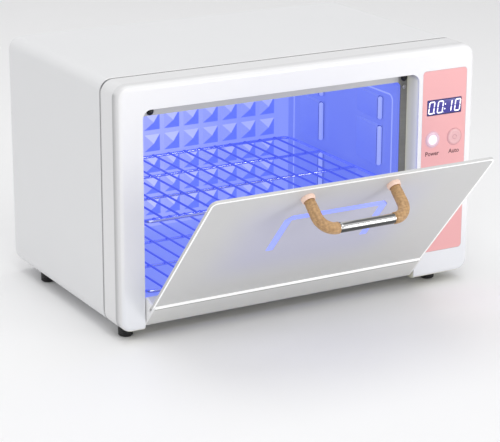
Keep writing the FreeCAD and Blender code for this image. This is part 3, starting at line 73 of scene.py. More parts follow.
# --- shader maths ----------------------------------------------------------------------------
class Wire:
    """A shader socket that takes part in Python expressions."""

    def __init__(self, tree: bpy.types.NodeTree, socket: bpy.types.NodeSocket) -> None:
        """Wrap one output socket of a node tree."""
        self.tree = tree
        self.socket = socket

    def maths(self, operation: str, other: "Value" = 0.0, swap: bool = False) -> "Wire":
        """Add one Math node.

        Args:
            operation: The Math node's operation.
            other: The second value, a number or another wire.
            swap: Whether the second value comes first.

        Returns:
            The node's result.
        """
        node = self.tree.nodes.new("ShaderNodeMath")
        node.operation = operation
        pair = (other, self) if swap else (self, other)
        for socket, value in zip(node.inputs, pair):
            plug(self.tree, socket, value)
        return Wire(self.tree, node.outputs[0])

    def __add__(self, other: "Value") -> "Wire":
        """Sum."""
        return self.maths("ADD", other)

    __radd__ = __add__

    def __sub__(self, other: "Value") -> "Wire":
        """Difference."""
        return self.maths("SUBTRACT", other)

    def __rsub__(self, other: "Value") -> "Wire":
        """Difference with a number first."""
        return self.maths("SUBTRACT", other, swap=True)

    def __mul__(self, other: "Value") -> "Wire":
        """Product."""
        return self.maths("MULTIPLY", other)

    __rmul__ = __mul__

    def __truediv__(self, other: "Value") -> "Wire":
        """Quotient."""
        return self.maths("DIVIDE", other)

    def __rtruediv__(self, other: "Value") -> "Wire":
        """Quotient with a number first."""
        return self.maths("DIVIDE", other, swap=True)

    def __pow__(self, other: "Value") -> "Wire":
        """Power."""
        return self.maths("POWER", other)

    def clamp(self) -> "Wire":
        """Keep the value between 0 and 1."""
        return self.maths("MINIMUM", 1.0).maths("MAXIMUM", 0.0)


Value = Union[float, Sequence[float], Wire]


def plug(tree: bpy.types.NodeTree, socket: bpy.types.NodeSocket, value: Value) -> None:
    """Link a wire to a socket, or set the socket's own value."""
    if isinstance(value, Wire):
        tree.links.new(value.socket, socket)
    elif isinstance(value, (int, float)):
        socket.default_value = float(value)
    else:
        given = tuple(value)
        size = len(socket.default_value)
        socket.default_value = given + (1.0,) * (size - len(given))


class Bench:
    """The node tree of one material, with its Principled shader."""

    def __init__(self, name: str) -> None:
        """Start a material with a Principled shader and an output."""
        self.material = bpy.data.materials.new(name)
        self.material.use_nodes = True
        self.tree = self.material.node_tree
        self.tree.nodes.clear()
        self.shader = self.tree.nodes.new("ShaderNodeBsdfPrincipled")
        output = self.tree.nodes.new("ShaderNodeOutputMaterial")
        self.tree.links.new(self.shader.outputs[0], output.inputs[0])

    def add(
        self,
        kind: str,
        settings: dict | None = None,
        inputs: dict | None = None,
        output: int | str = 0,
    ) -> Wire:
        """Add a node of any type.

        Args:
            kind: The node's type.
            settings: The node's own settings, set first.
            inputs: Values or wires by socket name or index.
            output: Which output to return.

        Returns:
            The chosen output as a wire.
        """
        node = self.tree.nodes.new(kind)
        for name, value in (settings or {}).items():
            setattr(node, name, value)
        for name, value in (inputs or {}).items():
            plug(self.tree, node.inputs[name], value)
        return Wire(self.tree, node.outputs[output])

    def set(self, **values: Value) -> None:
        """Set the shader's sockets; underscores stand for spaces."""
        for name, value in values.items():
            plug(self.tree, self.shader.inputs[name.replace("_", " ")], value)

    def place(self, scale: Point = (1.0, 1.0, 1.0)) -> Wire:
        """Object coordinates in metres, scaled along each axis."""
        where = self.add("ShaderNodeTexCoord", output="Object")
        return self.add("ShaderNodeVectorMath", {"operation": "MULTIPLY"}, {0: where, 1: scale})

    def axis(self, name: str, vector: Wire | None = None) -> Wire:
        """One component of the object coordinates, or of another vector."""
        source = vector or self.add("ShaderNodeTexCoord", output="Object")
        return self.add("ShaderNodeSeparateXYZ", None, {0: source}, name)

    def noise(self, scale: float, detail: float = 2.0, stretch: Point = (1, 1, 1)) -> Wire:
        """Noise from 0 to 1, with features of about one metre over scale."""
        inputs = {"Vector": self.place(stretch), "Scale": scale, "Detail": detail}
        return self.add("ShaderNodeTexNoise", None, inputs)

    def mix(self, factor: Value, first: Value, second: Value) -> Wire:
        """Blend two colours."""
        return self.add(
            "ShaderNodeMix", {"data_type": "RGBA"}, {0: factor, 6: first, 7: second}, 2
        )

    def step(self, value: Wire, low: float, high: float) -> Wire:
        """Smooth rise from 0 at low to 1 at high."""
        return self.add(
            "ShaderNodeMapRange",
            {"interpolation_type": "SMOOTHSTEP"},
            {0: value, 1: low, 2: high, 3: 0.0, 4: 1.0},
        )

    def bump(self, height: Wire, strength: float, distance: float) -> None:
        """Feed a height to the shader's normal."""
        inputs = {"Height": height, "Strength": strength, "Distance": distance}
        self.set(Normal=self.add("ShaderNodeBump", None, inputs))


# --- finishes --------------------------------------------------------------------------------
@dataclass(frozen=True)
class Finish:
    """Moulded or painted surface with fine grain and a slight drift of tone."""

    name: str
    colour: Colour
    roughness: float = 0.4
    metallic: float = 0.0
    coat: float = 0.0
    drift: float = 0.04
    grain: float = 0.08
    grain_scale: float = 900.0
    glow: Colour | None = None
    glow_strength: float = 0.0

    def material(self) -> bpy.types.Material:
        """Build the finish's material once and return it."""
        label = f"{self.name}_look"
        known = bpy.data.materials.get(label)
        if known:
            return known
        bench = Bench(label)
        bench.set(Metallic=self.metallic, Coat_Weight=self.coat, Coat_Roughness=0.06)
        if self.glow:
            bench.set(Emission_Color=self.glow, Emission_Strength=self.glow_strength)
        self.surface(bench)
        return bench.material

    def shade(self, amount: float) -> Colour:
        """The base colour made lighter or darker."""
        return tuple(min(1.0, max(0.0, part * amount)) for part in self.colour)

    def surface(self, bench: Bench) -> None:
        """Lay tone drift, roughness variation and fine grain over the base."""
        cloud = bench.noise(14.0, 3.0)
        bench.set(
            Base_Color=bench.mix(cloud, self.shade(1 - self.drift), self.shade(1 + self.drift)),
            Roughness=cloud * 0.08 + (self.roughness - 0.04),
        )
        bench.bump(bench.noise(self.grain_scale, 2.0), self.grain, 0.0002)


@dataclass(frozen=True)
class Brushed(Finish):
    """Metal brushed along X, with fine streaks in tone and roughness."""

    along: Point = (6.0, 700.0, 700.0)

    def surface(self, bench: Bench) -> None:
        """Streaks from noise stretched along the brushing direction."""
        streak = bench.noise(1.0, 3.0, self.along)
        cloud = bench.noise(9.0, 2.0)
        tone = streak * 0.7 + cloud * 0.3
        bench.set(
            Base_Color=bench.mix(tone, self.shade(1 - self.drift), self.shade(1 + self.drift)),
            Roughness=streak * 0.16 + (self.roughness - 0.08),
        )
        bench.bump(streak, self.grain, 0.0001)


@dataclass(frozen=True)
class FadedInsert(Finish):
    """Coloured gloss insert that is slightly deeper towards its lower edge."""

    low: float = 0.05
    high: float = 0.21

    def surface(self, bench: Bench) -> None:
        """Blend from the deeper tone at the bottom to the base tone at the top."""
        rise = bench.step(bench.axis("Z"), self.low, self.high)
        cloud = bench.noise(30.0, 2.0)
        top = bench.mix(cloud, self.shade(0.99), self.shade(1.02))
        bench.set(
            Base_Color=bench.mix(rise, self.shade(0.91), top),
            Roughness=cloud * 0.06 + self.roughness,
        )
        bench.bump(bench.noise(self.grain_scale, 2.0), self.grain, 0.0001)


@dataclass(frozen=True)
class SteppedGloss(Finish):
    """Gloss moulding, with soft painted shade where its flush band turns into the front face."""

    line_y: float = 0.0
    face_y: float = 0.0
    rear_y: float = 0.0
    top_z: float = 0.229
    side_x: float = 0.181
    beam_x: float = 0.118
    beam_z: tuple[float, float] = (0.030, 0.206)

    def surface(self, bench: Bench) -> None:
        """Paint shade on the band, the band's front, its rear edge, the lower front and the pocket
        behind the door, and paint light on the reveal.
        """
        y, z = bench.axis("Y"), bench.axis("Z")
        aside = bench.axis("X").maths("ABSOLUTE")
        over = bench.step(z, self.top_z, self.top_z + 0.003)
        beside = bench.step(aside, self.side_x, self.side_x + 0.003) * (1.0 - over)
        outside = (beside + over).clamp()
        start = 1.0 - bench.step(y, self.line_y - 0.0004, self.line_y + 0.0008)
        fade = bench.step(y, self.face_y, self.line_y)
        # Painted shade where the flush band starts to turn into the front face, strongest on the
        # sides.
        turned = start * fade * (beside * 0.50 + over * 0.10)
        rear = bench.step(y, self.rear_y - 0.0020, self.rear_y - 0.0010)
        # Painted shadow: a dark line in the seam along the band's rear edge.
        edge = rear * (beside * 0.45 + over * 0.95)
        flush = bench.step(y, self.face_y, self.face_y + 0.002)
        cloud = bench.noise(12.0, 2.0)
        front = bench.mix(cloud, self.shade(1 - self.drift), self.shade(1 + self.drift))
        # Painted shade: the front is greyer towards the bottom.
        front = bench.mix(bench.step(z, 0.030, 0.085), (0.80, 0.815, 0.85), front)
        rise = bench.step(y, self.face_y, self.line_y)
        # Painted shade in the pocket behind the door, darkest at the back.
        pocket = bench.mix(rise, (0.84, 0.83, 0.70), (0.56, 0.55, 0.46))
        inside = bench.mix(flush * (1.0 - outside), front, pocket)
        # Painted shade: the flush band on the sides and top is darker than the front.
        band = bench.mix(flush * outside, inside, self.shade(0.86))
        shaded = bench.mix((turned + edge).clamp(), band, (0.10, 0.10, 0.11))
        x, (foot, head) = bench.axis("X"), self.beam_z
        beam = bench.step(x, self.beam_x, self.beam_x + 0.006)
        beam = beam * (1.0 - bench.step(x, self.beam_x + 0.009, self.beam_x + 0.011))
        tall = bench.step(z, foot, foot + 0.006) * (1.0 - bench.step(z, head, head + 0.008))
        # Painted light: a pale glow on the reveal beside the door.
        reveal_light = flush * beam * tall
        bench.set(
            Base_Color=shaded,
            Roughness=flush * 0.16 + self.roughness,
            Emission_Color=bench.mix(reveal_light, (0.0, 0.0, 0.0), (0.33, 0.33, 0.27)),
            Emission_Strength=0.8,
        )


@dataclass(frozen=True)
class RimHighlightPaint(Finish):
    """Powder coat with a painted highlight, a bright line along its front edge beside the seam on
    top.
    """

    rim_y: float = 0.0

    def surface(self, bench: Bench) -> None:
        """Paint a narrow highlight line along the sheet's front edge."""
        # Painted highlight: white along the front edge, on top only.
        rim_highlight = 1.0 - bench.step(bench.axis("Y"), self.rim_y + 0.0012, self.rim_y + 0.0022)
        over = bench.step(bench.axis("Z"), 0.236, 0.2375)
        cloud = bench.noise(14.0, 3.0)
        paint = bench.mix(cloud, self.shade(1 - self.drift), self.shade(1 + self.drift))
        bench.set(
            Base_Color=bench.mix(rim_highlight * over, paint, (1.0, 1.0, 1.0)),
            Roughness=cloud * 0.08 + (self.roughness - 0.04),
        )
        bench.bump(bench.noise(self.grain_scale, 2.0), self.grain, 0.0002)


@dataclass(frozen=True)
class LitCap(Finish):
    """Round cap whose middle is lit through a clear lens."""

    centre: tuple[float, float] = (0.0, 0.0)
    core: float = 0.0045
    rim: Colour = (0.84, 0.60, 0.70)

    def surface(self, bench: Bench) -> None:
        """Bright core that fades into the cap's coloured rim."""
        across = (bench.axis("X") - self.centre[0]) ** 2.0
        up = (bench.axis("Z") - self.centre[1]) ** 2.0
        out = (across + up) ** 0.5
        lit = 1.0 - bench.step(out, self.core * 0.80, self.core * 1.25)
        bench.set(
            Base_Color=bench.mix(lit, self.rim, self.colour),
            Roughness=self.roughness,
            Emission_Color=bench.mix(lit, (0.0, 0.0, 0.0), self.glow),
            Emission_Strength=self.glow_strength,
        )


@dataclass(frozen=True)
class BandedChrome(Finish):
    """Mirror tube with a painted reflection of a dark room above and below a bright window."""

    axis_z: float = 0.0
    radius: float = 0.005

    def surface(self, bench: Bench) -> None:
        """Painted reflection: dark, bright and dark bands by how high the tube's face lies."""
        turned = (bench.axis("Z") - self.axis_z) / self.radius
        upper = bench.step(turned, 0.62, 0.72) * (1.0 - bench.step(turned, 0.94, 0.99))
        lower = 1.0 - bench.step(turned, -0.12, 0.10)
        cloud = bench.noise(30.0, 2.0)
        bench.set(
            Base_Color=bench.mix(
                (upper * 0.78 + lower * 0.95).clamp(), self.colour, self.shade(0.05)
            ),
            Roughness=cloud * 0.04 + self.roughness,
        )


@dataclass(frozen=True)
class FlangeSheet(Brushed):
    """Brushed flange that lies in shade on its right side."""

    shade_x: float = 0.0

    def surface(self, bench: Bench) -> None:
        """Streaks, darker beyond one X."""
        streak = bench.noise(1.0, 3.0, self.along)
        cloud = bench.noise(60.0, 3.0)
        right = bench.step(bench.axis("X"), self.shade_x, self.shade_x + 0.004)
        tone = streak * 0.5 + cloud * 0.5
        plain = bench.mix(tone, self.shade(1 - self.drift), self.shade(1 + self.drift))
        dark = bench.mix(tone, (0.20, 0.20, 0.18), (0.34, 0.34, 0.31))
        tone = bench.mix(right, plain, dark)
        bench.set(Base_Color=tone, Roughness=streak * 0.16 + self.roughness)
        bench.bump(streak, self.grain, 0.0001)


@dataclass(frozen=True)
class DoorSheet(Brushed):
    """Satin grey sheet with the chamber's light softly tinting its middle."""

    tint: Colour = (0.55, 0.55, 0.76)
    centre_x: float = 0.0
    half_width: float = 0.12

    def surface(self, bench: Bench) -> None:
        """Streaks with a soft violet cast that fades out towards the edges."""
        streak = bench.noise(1.0, 3.0, self.along)
        aside = (bench.axis("X") - self.centre_x).maths("ABSOLUTE")
        across = 1.0 - bench.step(aside, self.half_width * 0.45, self.half_width)
        height = bench.axis("Z")
        upright = bench.step(height, 0.045, 0.085) * (1.0 - bench.step(height, 0.125, 0.165))
        grey = bench.mix(streak, self.shade(1 - self.drift), self.shade(1 + self.drift))
        bench.set(
            Base_Color=bench.mix(across * upright * 0.85, grey, self.tint),
            Roughness=streak * 0.12 + self.roughness,
        )
        bench.bump(streak, self.grain, 0.0001)


@dataclass(frozen=True)
class LitSteel(Finish):
    """Bright chamber steel under the lamps: blue light that is strongest on upward faces."""

    deep: Colour = (0.075, 0.12, 0.95)
    pale: Colour = (0.36, 0.45, 1.0)
    lift: float = 0.0

    def surface(self, bench: Bench) -> None:
        """Blend the light's two tones by how a face is turned, with soft pools of light."""
        normal = bench.add("ShaderNodeNewGeometry", output="Normal")
        facing_up = bench.axis("Z", normal)
        facing_left = 0.0 - bench.axis("X", normal)
        cloud = bench.noise(11.0, 2.0)
        level = facing_up * 0.5 + facing_left * 0.22 + cloud * 0.3 + self.lift
        bench.set(
            Base_Color=bench.mix(cloud, self.shade(0.95), self.shade(1.05)),
            Roughness=cloud * 0.12 + self.roughness,
            Emission_Color=bench.mix(level.clamp(), self.deep, self.pale),
            Emission_Strength=self.glow_strength,
        )
        bench.bump(bench.noise(self.grain_scale, 2.0), self.grain, 0.0001)


@dataclass(frozen=True)
class Reflector(LitSteel):
    """Embossed rear reflector: its upward facets catch the lamps and look white."""

    def surface(self, bench: Bench) -> None:
        """White on upward facets, lavender to the left, deep blue below and to the right."""
        normal = bench.add("ShaderNodeNewGeometry", output="Normal")
        rise, turn = bench.axis("Z", normal), bench.axis("X", normal)
        up = bench.step(rise, 0.15, 0.32)
        shut = bench.step(0.0 - rise, 0.15, 0.32).maths("MAXIMUM", bench.step(turn, 0.15, 0.32))
        x = bench.axis("X")
        fade = 1.0 - bench.step(x, -0.100, -0.045) * 0.82
        cloud = bench.noise(16.0, 2.0)
        side = bench.step(x, -0.15, 0.10)
        light = bench.mix(side, (0.56, 0.60, 1.0), (0.34, 0.42, 1.0))
        shaded = bench.mix(cloud, self.deep, (0.17, 0.25, 1.0))
        facets = bench.mix(shut, light, shaded)
        bright = bench.mix(up * fade, facets, (1.7, 1.7, 1.65))
        bench.set(
            Base_Color=bench.mix(cloud, self.shade(0.95), self.shade(1.05)),
            Roughness=cloud * 0.10 + self.roughness,
            Emission_Color=bright,
            Emission_Strength=self.glow_strength,
        )


@dataclass(frozen=True)
class Wood(Finish):
    """Lacquered light wood with fine lengthwise grain and turned rings."""

    ring_colour: Colour = (0.21, 0.10, 0.032)

    def surface(self, bench: Bench) -> None:
        """Grain fibres, a slow change of tone and the darker late-wood bands."""
        fibre = bench.noise(1.0, 4.0, (160.0, 620.0, 620.0))
        slow = bench.noise(60.0, 2.0)
        wave = bench.add(
            "ShaderNodeTexWave",
            {"wave_type": "BANDS", "bands_direction": "X"},
            {"Vector": bench.place(), "Scale": 95.0, "Distortion": 3.0, "Detail": 2.0},
            "Fac",
        )
        light = wave * 0.16 + bench.step(fibre, 0.36, 0.64) * 0.34 + slow * 0.30 + 0.28
        bench.set(
            Base_Color=bench.mix(light.clamp(), self.ring_colour, self.colour),
            Roughness=fibre * 0.2 + self.roughness,
        )
        bench.bump(fibre, self.grain, 0.0003)


@dataclass(frozen=True)
class Laminate(Finish):
    """Circuit board laminate with copper tracks under the mask."""

    def surface(self, bench: Bench) -> None:
        """Tracks as a brick pattern, a shade lighter than the mask."""
        track = bench.add(
            "ShaderNodeTexBrick",
            {"offset": 0.37},
            {"Vector": bench.place((1, 1, 1)), "Scale": 160.0, "Mortar Size": 0.06},
            "Fac",
        )
        bench.set(
            Base_Color=bench.mix(track, self.shade(0.8), self.shade(1.9)),
            Roughness=track * 0.15 + self.roughness,
        )
        bench.bump(track, 0.3, 0.0001)


@dataclass(frozen=True)
class LampGlass(Finish):
    """Glowing tube that darkens towards its cathodes."""

    reach: float = 0.1
    middle: float = 0.0

    def surface(self, bench: Bench) -> None:
        """Fade the glow near both ends of the tube."""
        aside = (bench.axis("X") - self.middle).maths("ABSOLUTE")
        fade = bench.step(aside, self.reach * 0.86, self.reach)
        bench.set(
            Base_Color=self.colour,
            Roughness=self.roughness,
            Emission_Color=bench.mix(fade, self.glow, (0.10, 0.06, 0.25)),
            Emission_Strength=self.glow_strength,
        )


CASE_PAINT = Finish("case_powder_coat", (0.80, 0.805, 0.815), 0.42, drift=0.012, grain=0.10)
# The wrap's paint carries a painted highlight along its front edge on top.
WRAP_PAINT = RimHighlightPaint(
    "wrap_powder_coat", (0.80, 0.805, 0.815), 0.42, drift=0.012, grain=0.10, rim_y=-0.0829
)
BEZEL_GLOSS = SteppedGloss(
    "bezel_gloss_white", (0.93, 0.93, 0.94), 0.26, coat=0.3, drift=0.008,
    line_y=-0.1085, face_y=-0.1195, rear_y=-0.0845,
)
FASCIA_PINK = FadedInsert("fascia_pink", (0.93, 0.465, 0.47), 0.36, coat=0.05, grain=0.02)
FASCIA_RING = Finish("button_ring", (0.62, 0.30, 0.34), 0.4, grain=0.03)
RING_PALE = Finish("button_ring_pale", (0.84, 0.58, 0.66), 0.4, grain=0.03)
LABEL_INK = Finish("label_ink", (0.12, 0.035, 0.04), 0.5, grain=0.03)
WINDOW_TINT = Finish(
    "window_violet", (0.02, 0.015, 0.10), 0.35, coat=0.12,
    glow=(0.040, 0.032, 0.27), glow_strength=0.85,
)
BORDER_VIOLET = Finish("border_violet", (0.02, 0.012, 0.09), 0.3, coat=0.2, drift=0.02, grain=0.02)
DIGIT_LIGHT = Finish("digit_light", (0.9, 0.9, 1.0), 0.4, glow=(1.0, 0.98, 1.0), glow_strength=1.1)
CAP_PINK = Finish("button_blush", (0.84, 0.50, 0.51), 0.36, coat=0.1, grain=0.04)
RUBBER = Finish("rubber_black", (0.012, 0.012, 0.013), 0.42, drift=0.3, grain=0.35, grain_scale=500)
CHAMBER = LitSteel(
    "chamber_steel", (0.26, 0.29, 0.50), 0.36, metallic=0.6, glow_strength=0.46, grain=0.03,
    deep=(0.13, 0.20, 1.0), pale=(0.40, 0.50, 1.0),
)
# Lit and shaded copies of the chamber steel: painted light on the pads' noses and border beads,
# painted shade on the rims round the noses.
NOSE_LIT = LitSteel(
    "pad_nose_lit", (0.26, 0.29, 0.50), 0.32, metallic=0.6, glow_strength=0.66,
    deep=(0.34, 0.42, 1.0), pale=(0.54, 0.62, 1.0),
)
NOSE_SHADE = LitSteel(
    "pad_rim_shade", (0.06, 0.08, 0.25), 0.45, metallic=0.4, glow_strength=0.34,
    deep=(0.035, 0.06, 0.66), pale=(0.08, 0.12, 0.85),
)
PYRAMIDS = Reflector(
    "reflector_pyramids", (0.26, 0.29, 0.50), 0.3, metallic=0.6, glow_strength=0.60,
    deep=(0.12, 0.18, 0.95),
)
FLANGE = FlangeSheet(
    "flange_steel", (0.62, 0.62, 0.60), 0.42, metallic=0.15, grain=0.08, drift=0.05, shade_x=0.114
)
# Painted light: the wires' blue tint and glow stand in for the lamps' blue light on the chrome.
LIT_RACK_RAIL = Finish(
    "rack_rail", (0.55, 0.60, 0.95), 0.16, metallic=1.0, drift=0.05, grain=0.02,
    glow=(0.05, 0.07, 0.55), glow_strength=0.20,
)
LIT_RACK_ROD = Finish(
    "rack_rod", (0.06, 0.09, 0.35), 0.34, metallic=0.4, drift=0.08, grain=0.02,
    glow=(0.10, 0.14, 0.90), glow_strength=0.58,
)
TRAY_SHEET = Brushed("reflector_sheet", (0.80, 0.82, 0.90), 0.18, metallic=1.0, grain=0.05)
SOCKET_WHITE = Finish("socket_white", (0.80, 0.80, 0.82), 0.45, grain=0.1)
ZINC = Brushed("zinc_hardware", (0.52, 0.52, 0.53), 0.32, metallic=1.0, grain=0.1, drift=0.1)
BRASS = Brushed("contact_brass", (0.72, 0.50, 0.20), 0.25, metallic=1.0, grain=0.05)
BOARD = Laminate("board_green", (0.02, 0.13, 0.05), 0.35)
BLACK = Finish("moulding_black", (0.018, 0.018, 0.02), 0.42, drift=0.2, grain=0.2)
ENAMEL = Finish("ballast_enamel", (0.70, 0.70, 0.72), 0.35, grain=0.12)
RAIL_METAL = Brushed("rail_satin", (0.72, 0.72, 0.71), 0.42, metallic=0.08, grain=0.08, drift=0.05)
RAIL_SHADE = Brushed("rail_shade", (0.40, 0.40, 0.395), 0.45, grain=0.05, drift=0.04)
# White trim, its own colour, with a glow that is painted light: a painted highlight on the door's
# edges and crease.
EDGE_WHITE = Finish(
    "edge_white", (0.97, 0.97, 0.97), 0.25, coat=0.3, drift=0.01, grain=0.02,
    glow=(1.0, 1.0, 1.0), glow_strength=0.22,
)
CAP_WHITE = Finish("cap_white", (0.90, 0.90, 0.905), 0.3, coat=0.2, drift=0.01, grain=0.02)
STRIP = Finish(
    "light_strip", (0.14, 0.17, 0.50), 0.4, coat=0.1, glow=(0.27, 0.33, 0.98), glow_strength=0.85
)
WOOD = Wood("handle_wood", (0.62, 0.385, 0.185), 0.40, coat=0.12, grain=0.25)
# Painted reflection in dark and bright bands on the chromed bar.
CHROME = BandedChrome("bar_chrome", (0.95, 0.95, 0.94), 0.10, metallic=1.0, drift=0.02)
# The collar's peach is its own colour; its glow is painted light.
PEACH = Finish(
    "collar_peach", (0.94, 0.70, 0.58), 0.4, coat=0.1, grain=0.04,
    glow=(1.0, 0.60, 0.46), glow_strength=0.08,
)


# --- mesh tools ------------------------------------------------------------------------------
def span(node: str) -> tuple[Vector, Vector]:
    """Lowest and highest corner of a CAD node at rest."""
    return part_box(node)


def mesh_object(
    name: str, verts: Iterable[Sequence[float]], faces: Iterable[Sequence[int]], sharp: float = 35.0
) -> bpy.types.Object:
    """Make a closed mesh object from points and faces.

    Args:
        name: The piece's name.
        verts: Points in metres.
        faces: Corner indices of each face.
        sharp: Edges turning more than this many degrees stay crisp.

    Returns:
        The new object.
    """
    mesh = bpy.data.meshes.new(name)
    mesh.from_pydata([tuple(point) for point in verts], [], [tuple(face) for face in faces])
    work = bmesh.new()
    work.from_mesh(mesh)
    bmesh.ops.remove_doubles(work, verts=work.verts, dist=1e-7)
    bmesh.ops.recalc_face_normals(work, faces=work.faces)
    work.to_mesh(mesh)
    work.free()
    return link(name, mesh, sharp)


def link(name: str, mesh: bpy.types.Mesh, sharp: float = 35.0) -> bpy.types.Object:
    """Put a mesh in the scene with smooth shading between its crisp edges."""
    mesh.polygons.foreach_set("use_smooth", [True] * len(mesh.polygons))
    mesh.set_sharp_from_angle(angle=math.radians(sharp))
    obj = bpy.data.objects.new(name, mesh)
    bpy.context.scene.collection.objects.link(obj)
    return obj


def take(name: str, work: bmesh.types.BMesh) -> bpy.types.Object:
    """Turn a finished working mesh into an object."""
    mesh = bpy.data.meshes.new(name)
    work.to_mesh(mesh)
    work.free()
    return link(name, mesh)


def limits(points: Sequence[Vector]) -> tuple[Vector, Vector]:
    """Lowest and highest corner of a set of points."""
    return tuple(
        Vector([pick(point[axis] for point in points) for axis in range(3)])
        for pick in (min, max)
    )


def join(name: str, pieces: Sequence[bpy.types.Object]) -> bpy.types.Object:
    """Join several meshes into one piece."""
    work = bmesh.new()
    for piece in pieces:
        work.from_mesh(piece.data)
    for piece in pieces:
        data = piece.data
        bpy.data.objects.remove(piece)
        bpy.data.meshes.remove(data)
    return take(name, work)


def lathe(
    name: str, profile: Sequence[tuple[float, float]], place: Matrix, steps: int = 48
) -> bpy.types.Object:
    """Turn a profile of (radius, distance) about an axis.

    Args:
        name: The piece's name.
        profile: Points from the first end to the other, in metres; a radius of 0 closes an end.
        place: Puts the turned axis, local Z, in the row frame.
        steps: Facets round the axis.

    Returns:
        The turned piece.
    """
    verts: list[Vector] = []
    rows: list[list[int]] = []
    for radius, distance in profile:
        if radius < 1e-9:
            verts.append(Vector((0, 0, distance)))
            rows.append([len(verts) - 1] * steps)
            continue
        start = len(verts)
        for index in range(steps):
            turn = math.tau * index / steps
            verts.append(Vector((radius * math.cos(turn), radius * math.sin(turn), distance)))
        rows.append(list(range(start, start + steps)))
    faces = []
    for low, high in zip(rows, rows[1:]):
        for index in range(steps):
            after = (index + 1) % steps
            corners = [low[index], low[after], high[after], high[index]]
            unique = list(dict.fromkeys(corners))
            if len(unique) > 2:
                faces.append(unique)
    for row in (rows[0], rows[-1]):
        if len(set(row)) > 2:
            faces.append(row)
    return mesh_object(name, [place @ vert for vert in verts], faces)


def axis_matrix(origin: Sequence[float], direction: Sequence[float]) -> Matrix:
    """Matrix that puts local Z along a direction, starting at an origin."""
    turn = Vector((0, 0, 1)).rotation_difference(Vector(direction)).to_matrix().to_4x4()
    return Matrix.Translation(Vector(origin)) @ turn


def tube(
    name: str,
    path: Sequence[Vector],
    radius: float | Sequence[float],
    closed: bool = False,
    sides: int = 14,
) -> bpy.types.Object:
    """Round bar along a path, with domed ends where it is open.

    Args:
        name: The piece's name.
        path: Points of the centre line.
        radius: One radius, or one for each point.
        closed: Whether the path is a loop.
        sides: Facets round the bar.

    Returns:
        The bar.
    """
    points = [Vector(point) for point in path]
    radii = [radius] * len(points) if isinstance(radius, (int, float)) else list(radius)
    if not closed:
        ahead = (points[0] - points[1]).normalized()
        behind = (points[-1] - points[-2]).normalized()
        first, last = radii[0], radii[-1]
        points = [points[0] + ahead * first * 0.3, *points, points[-1] + behind * last * 0.3]
        radii = [first * 0.7, *radii, last * 0.7]
    count = len(points)
    verts: list[Vector] = []
    normal = None
    for index, point in enumerate(points):
        before = points[index - 1] if index or closed else point
        after = points[(index + 1) % count] if index + 1 < count or closed else point
        tangent = (after - before).normalized()
        if normal is None:
            other = Vector((0, 0, 1)) if abs(tangent.z) < 0.9 else Vector((1, 0, 0))
            normal = tangent.cross(other).normalized()
        else:
            normal = (normal - tangent * normal.dot(tangent)).normalized()
        side = tangent.cross(normal)
        for corner in range(sides):
            turn = math.tau * corner / sides
            spoke = normal * math.cos(turn) + side * math.sin(turn)
            verts.append(point + spoke * radii[index])
    faces = []
    for index in range(count if closed else count - 1):
        for corner in range(sides):
            after = (corner + 1) % sides
            low, high = index * sides, (index + 1) % count * sides
            faces.append([low + corner, low + after, high + after, high + corner])
    if not closed:
        faces.append(list(range(sides)))
        faces.append(list(range((count - 1) * sides, count * sides)))
    return mesh_object(name, verts, faces, 50.0)


def soft_box(
    name: str, low: Sequence[float], high: Sequence[float], bevel: float, steps: int = 3
) -> bpy.types.Object:
    """Box with rounded edges between two corners."""
    work = bmesh.new()
    bmesh.ops.create_cube(work, size=1.0)
    low, high = Vector(low), Vector(high)
    size = high - low
    for vert in work.verts:
        vert.co = low + Vector([(part + 0.5) * side for part, side in zip(vert.co, size)])
    limit = min(size) * 0.49
    bmesh.ops.bevel(
        work, geom=list(work.edges), offset=min(bevel, limit), segments=steps,
        profile=0.5, affect="EDGES",
    )
    return take(name, work)


def arc(centre: Sequence[float], radius: float, start: float, end: float, steps: int,
        across: Vector, up: Vector) -> list[Vector]:
    """Points of an arc in the plane of two unit vectors, angles in degrees."""
    points = []
    for index in range(steps + 1):
        turn = math.radians(start + (end - start) * index / steps)
        spoke = across * math.cos(turn) + up * math.sin(turn)
        points.append(Vector(centre) + spoke * radius)
    return points


def rounded_loop(
    spot: Callable[[float, float], tuple[float, float, float]],
    low: tuple[float, float], high: tuple[float, float], radius: float, steps: int,
    across: Vector, up: Vector,
) -> list[Vector]:
    """Rounded rectangle in the plane of two unit vectors.

    Args:
        spot: Turns a place on the plane into a point in space.
        low: Lower corner on the plane.
        high: Upper corner on the plane.
        radius: Radius of the four corners.
        steps: Steps round each corner.
        across: Direction of the plane's first axis.
        up: Direction of the plane's second axis.

    Returns:
        The points of the loop, anticlockwise.
    """
    path: list[Vector] = []
    left, right = low[0] + radius, high[0] - radius
    foot, head = low[1] + radius, high[1] - radius
    corners = ((right, head), (left, head), (left, foot), (right, foot))
    for index, corner in enumerate(corners):
        start = 90 * index
        path += arc(spot(*corner), radius, start, start + 90, steps, across, up)
    return path


def prism(
    name: str, outline: Sequence[tuple[float, float]], place: Matrix, depth: float,
    bevel: float = 0.0,
) -> bpy.types.Object:
    """Flat plate with a given outline, from its face back along local Z."""
    work = bmesh.new()
    ring = [work.verts.new((x, y, 0.0)) for x, y in outline]
    face = work.faces.new(ring)
    result = bmesh.ops.extrude_face_region(work, geom=[face])
    for item in result["geom"]:
        if isinstance(item, bmesh.types.BMVert):
            item.co.z += depth
    bmesh.ops.recalc_face_normals(work, faces=work.faces)
    if bevel:
        rim = [edge for edge in work.edges if abs(edge.verts[0].co.z - edge.verts[1].co.z) < 1e-9]
        bmesh.ops.bevel(work, geom=rim, offset=bevel, segments=2, profile=0.5, affect="EDGES")
    for vert in work.verts:
        vert.co = place @ vert.co
    return take(name, work)


def facing(centre: Vector, y: float) -> Matrix:
    """Frame that looks forward from a depth y, level with a centre."""
    return axis_matrix((centre.x, y, centre.z), (0, -1, 0))


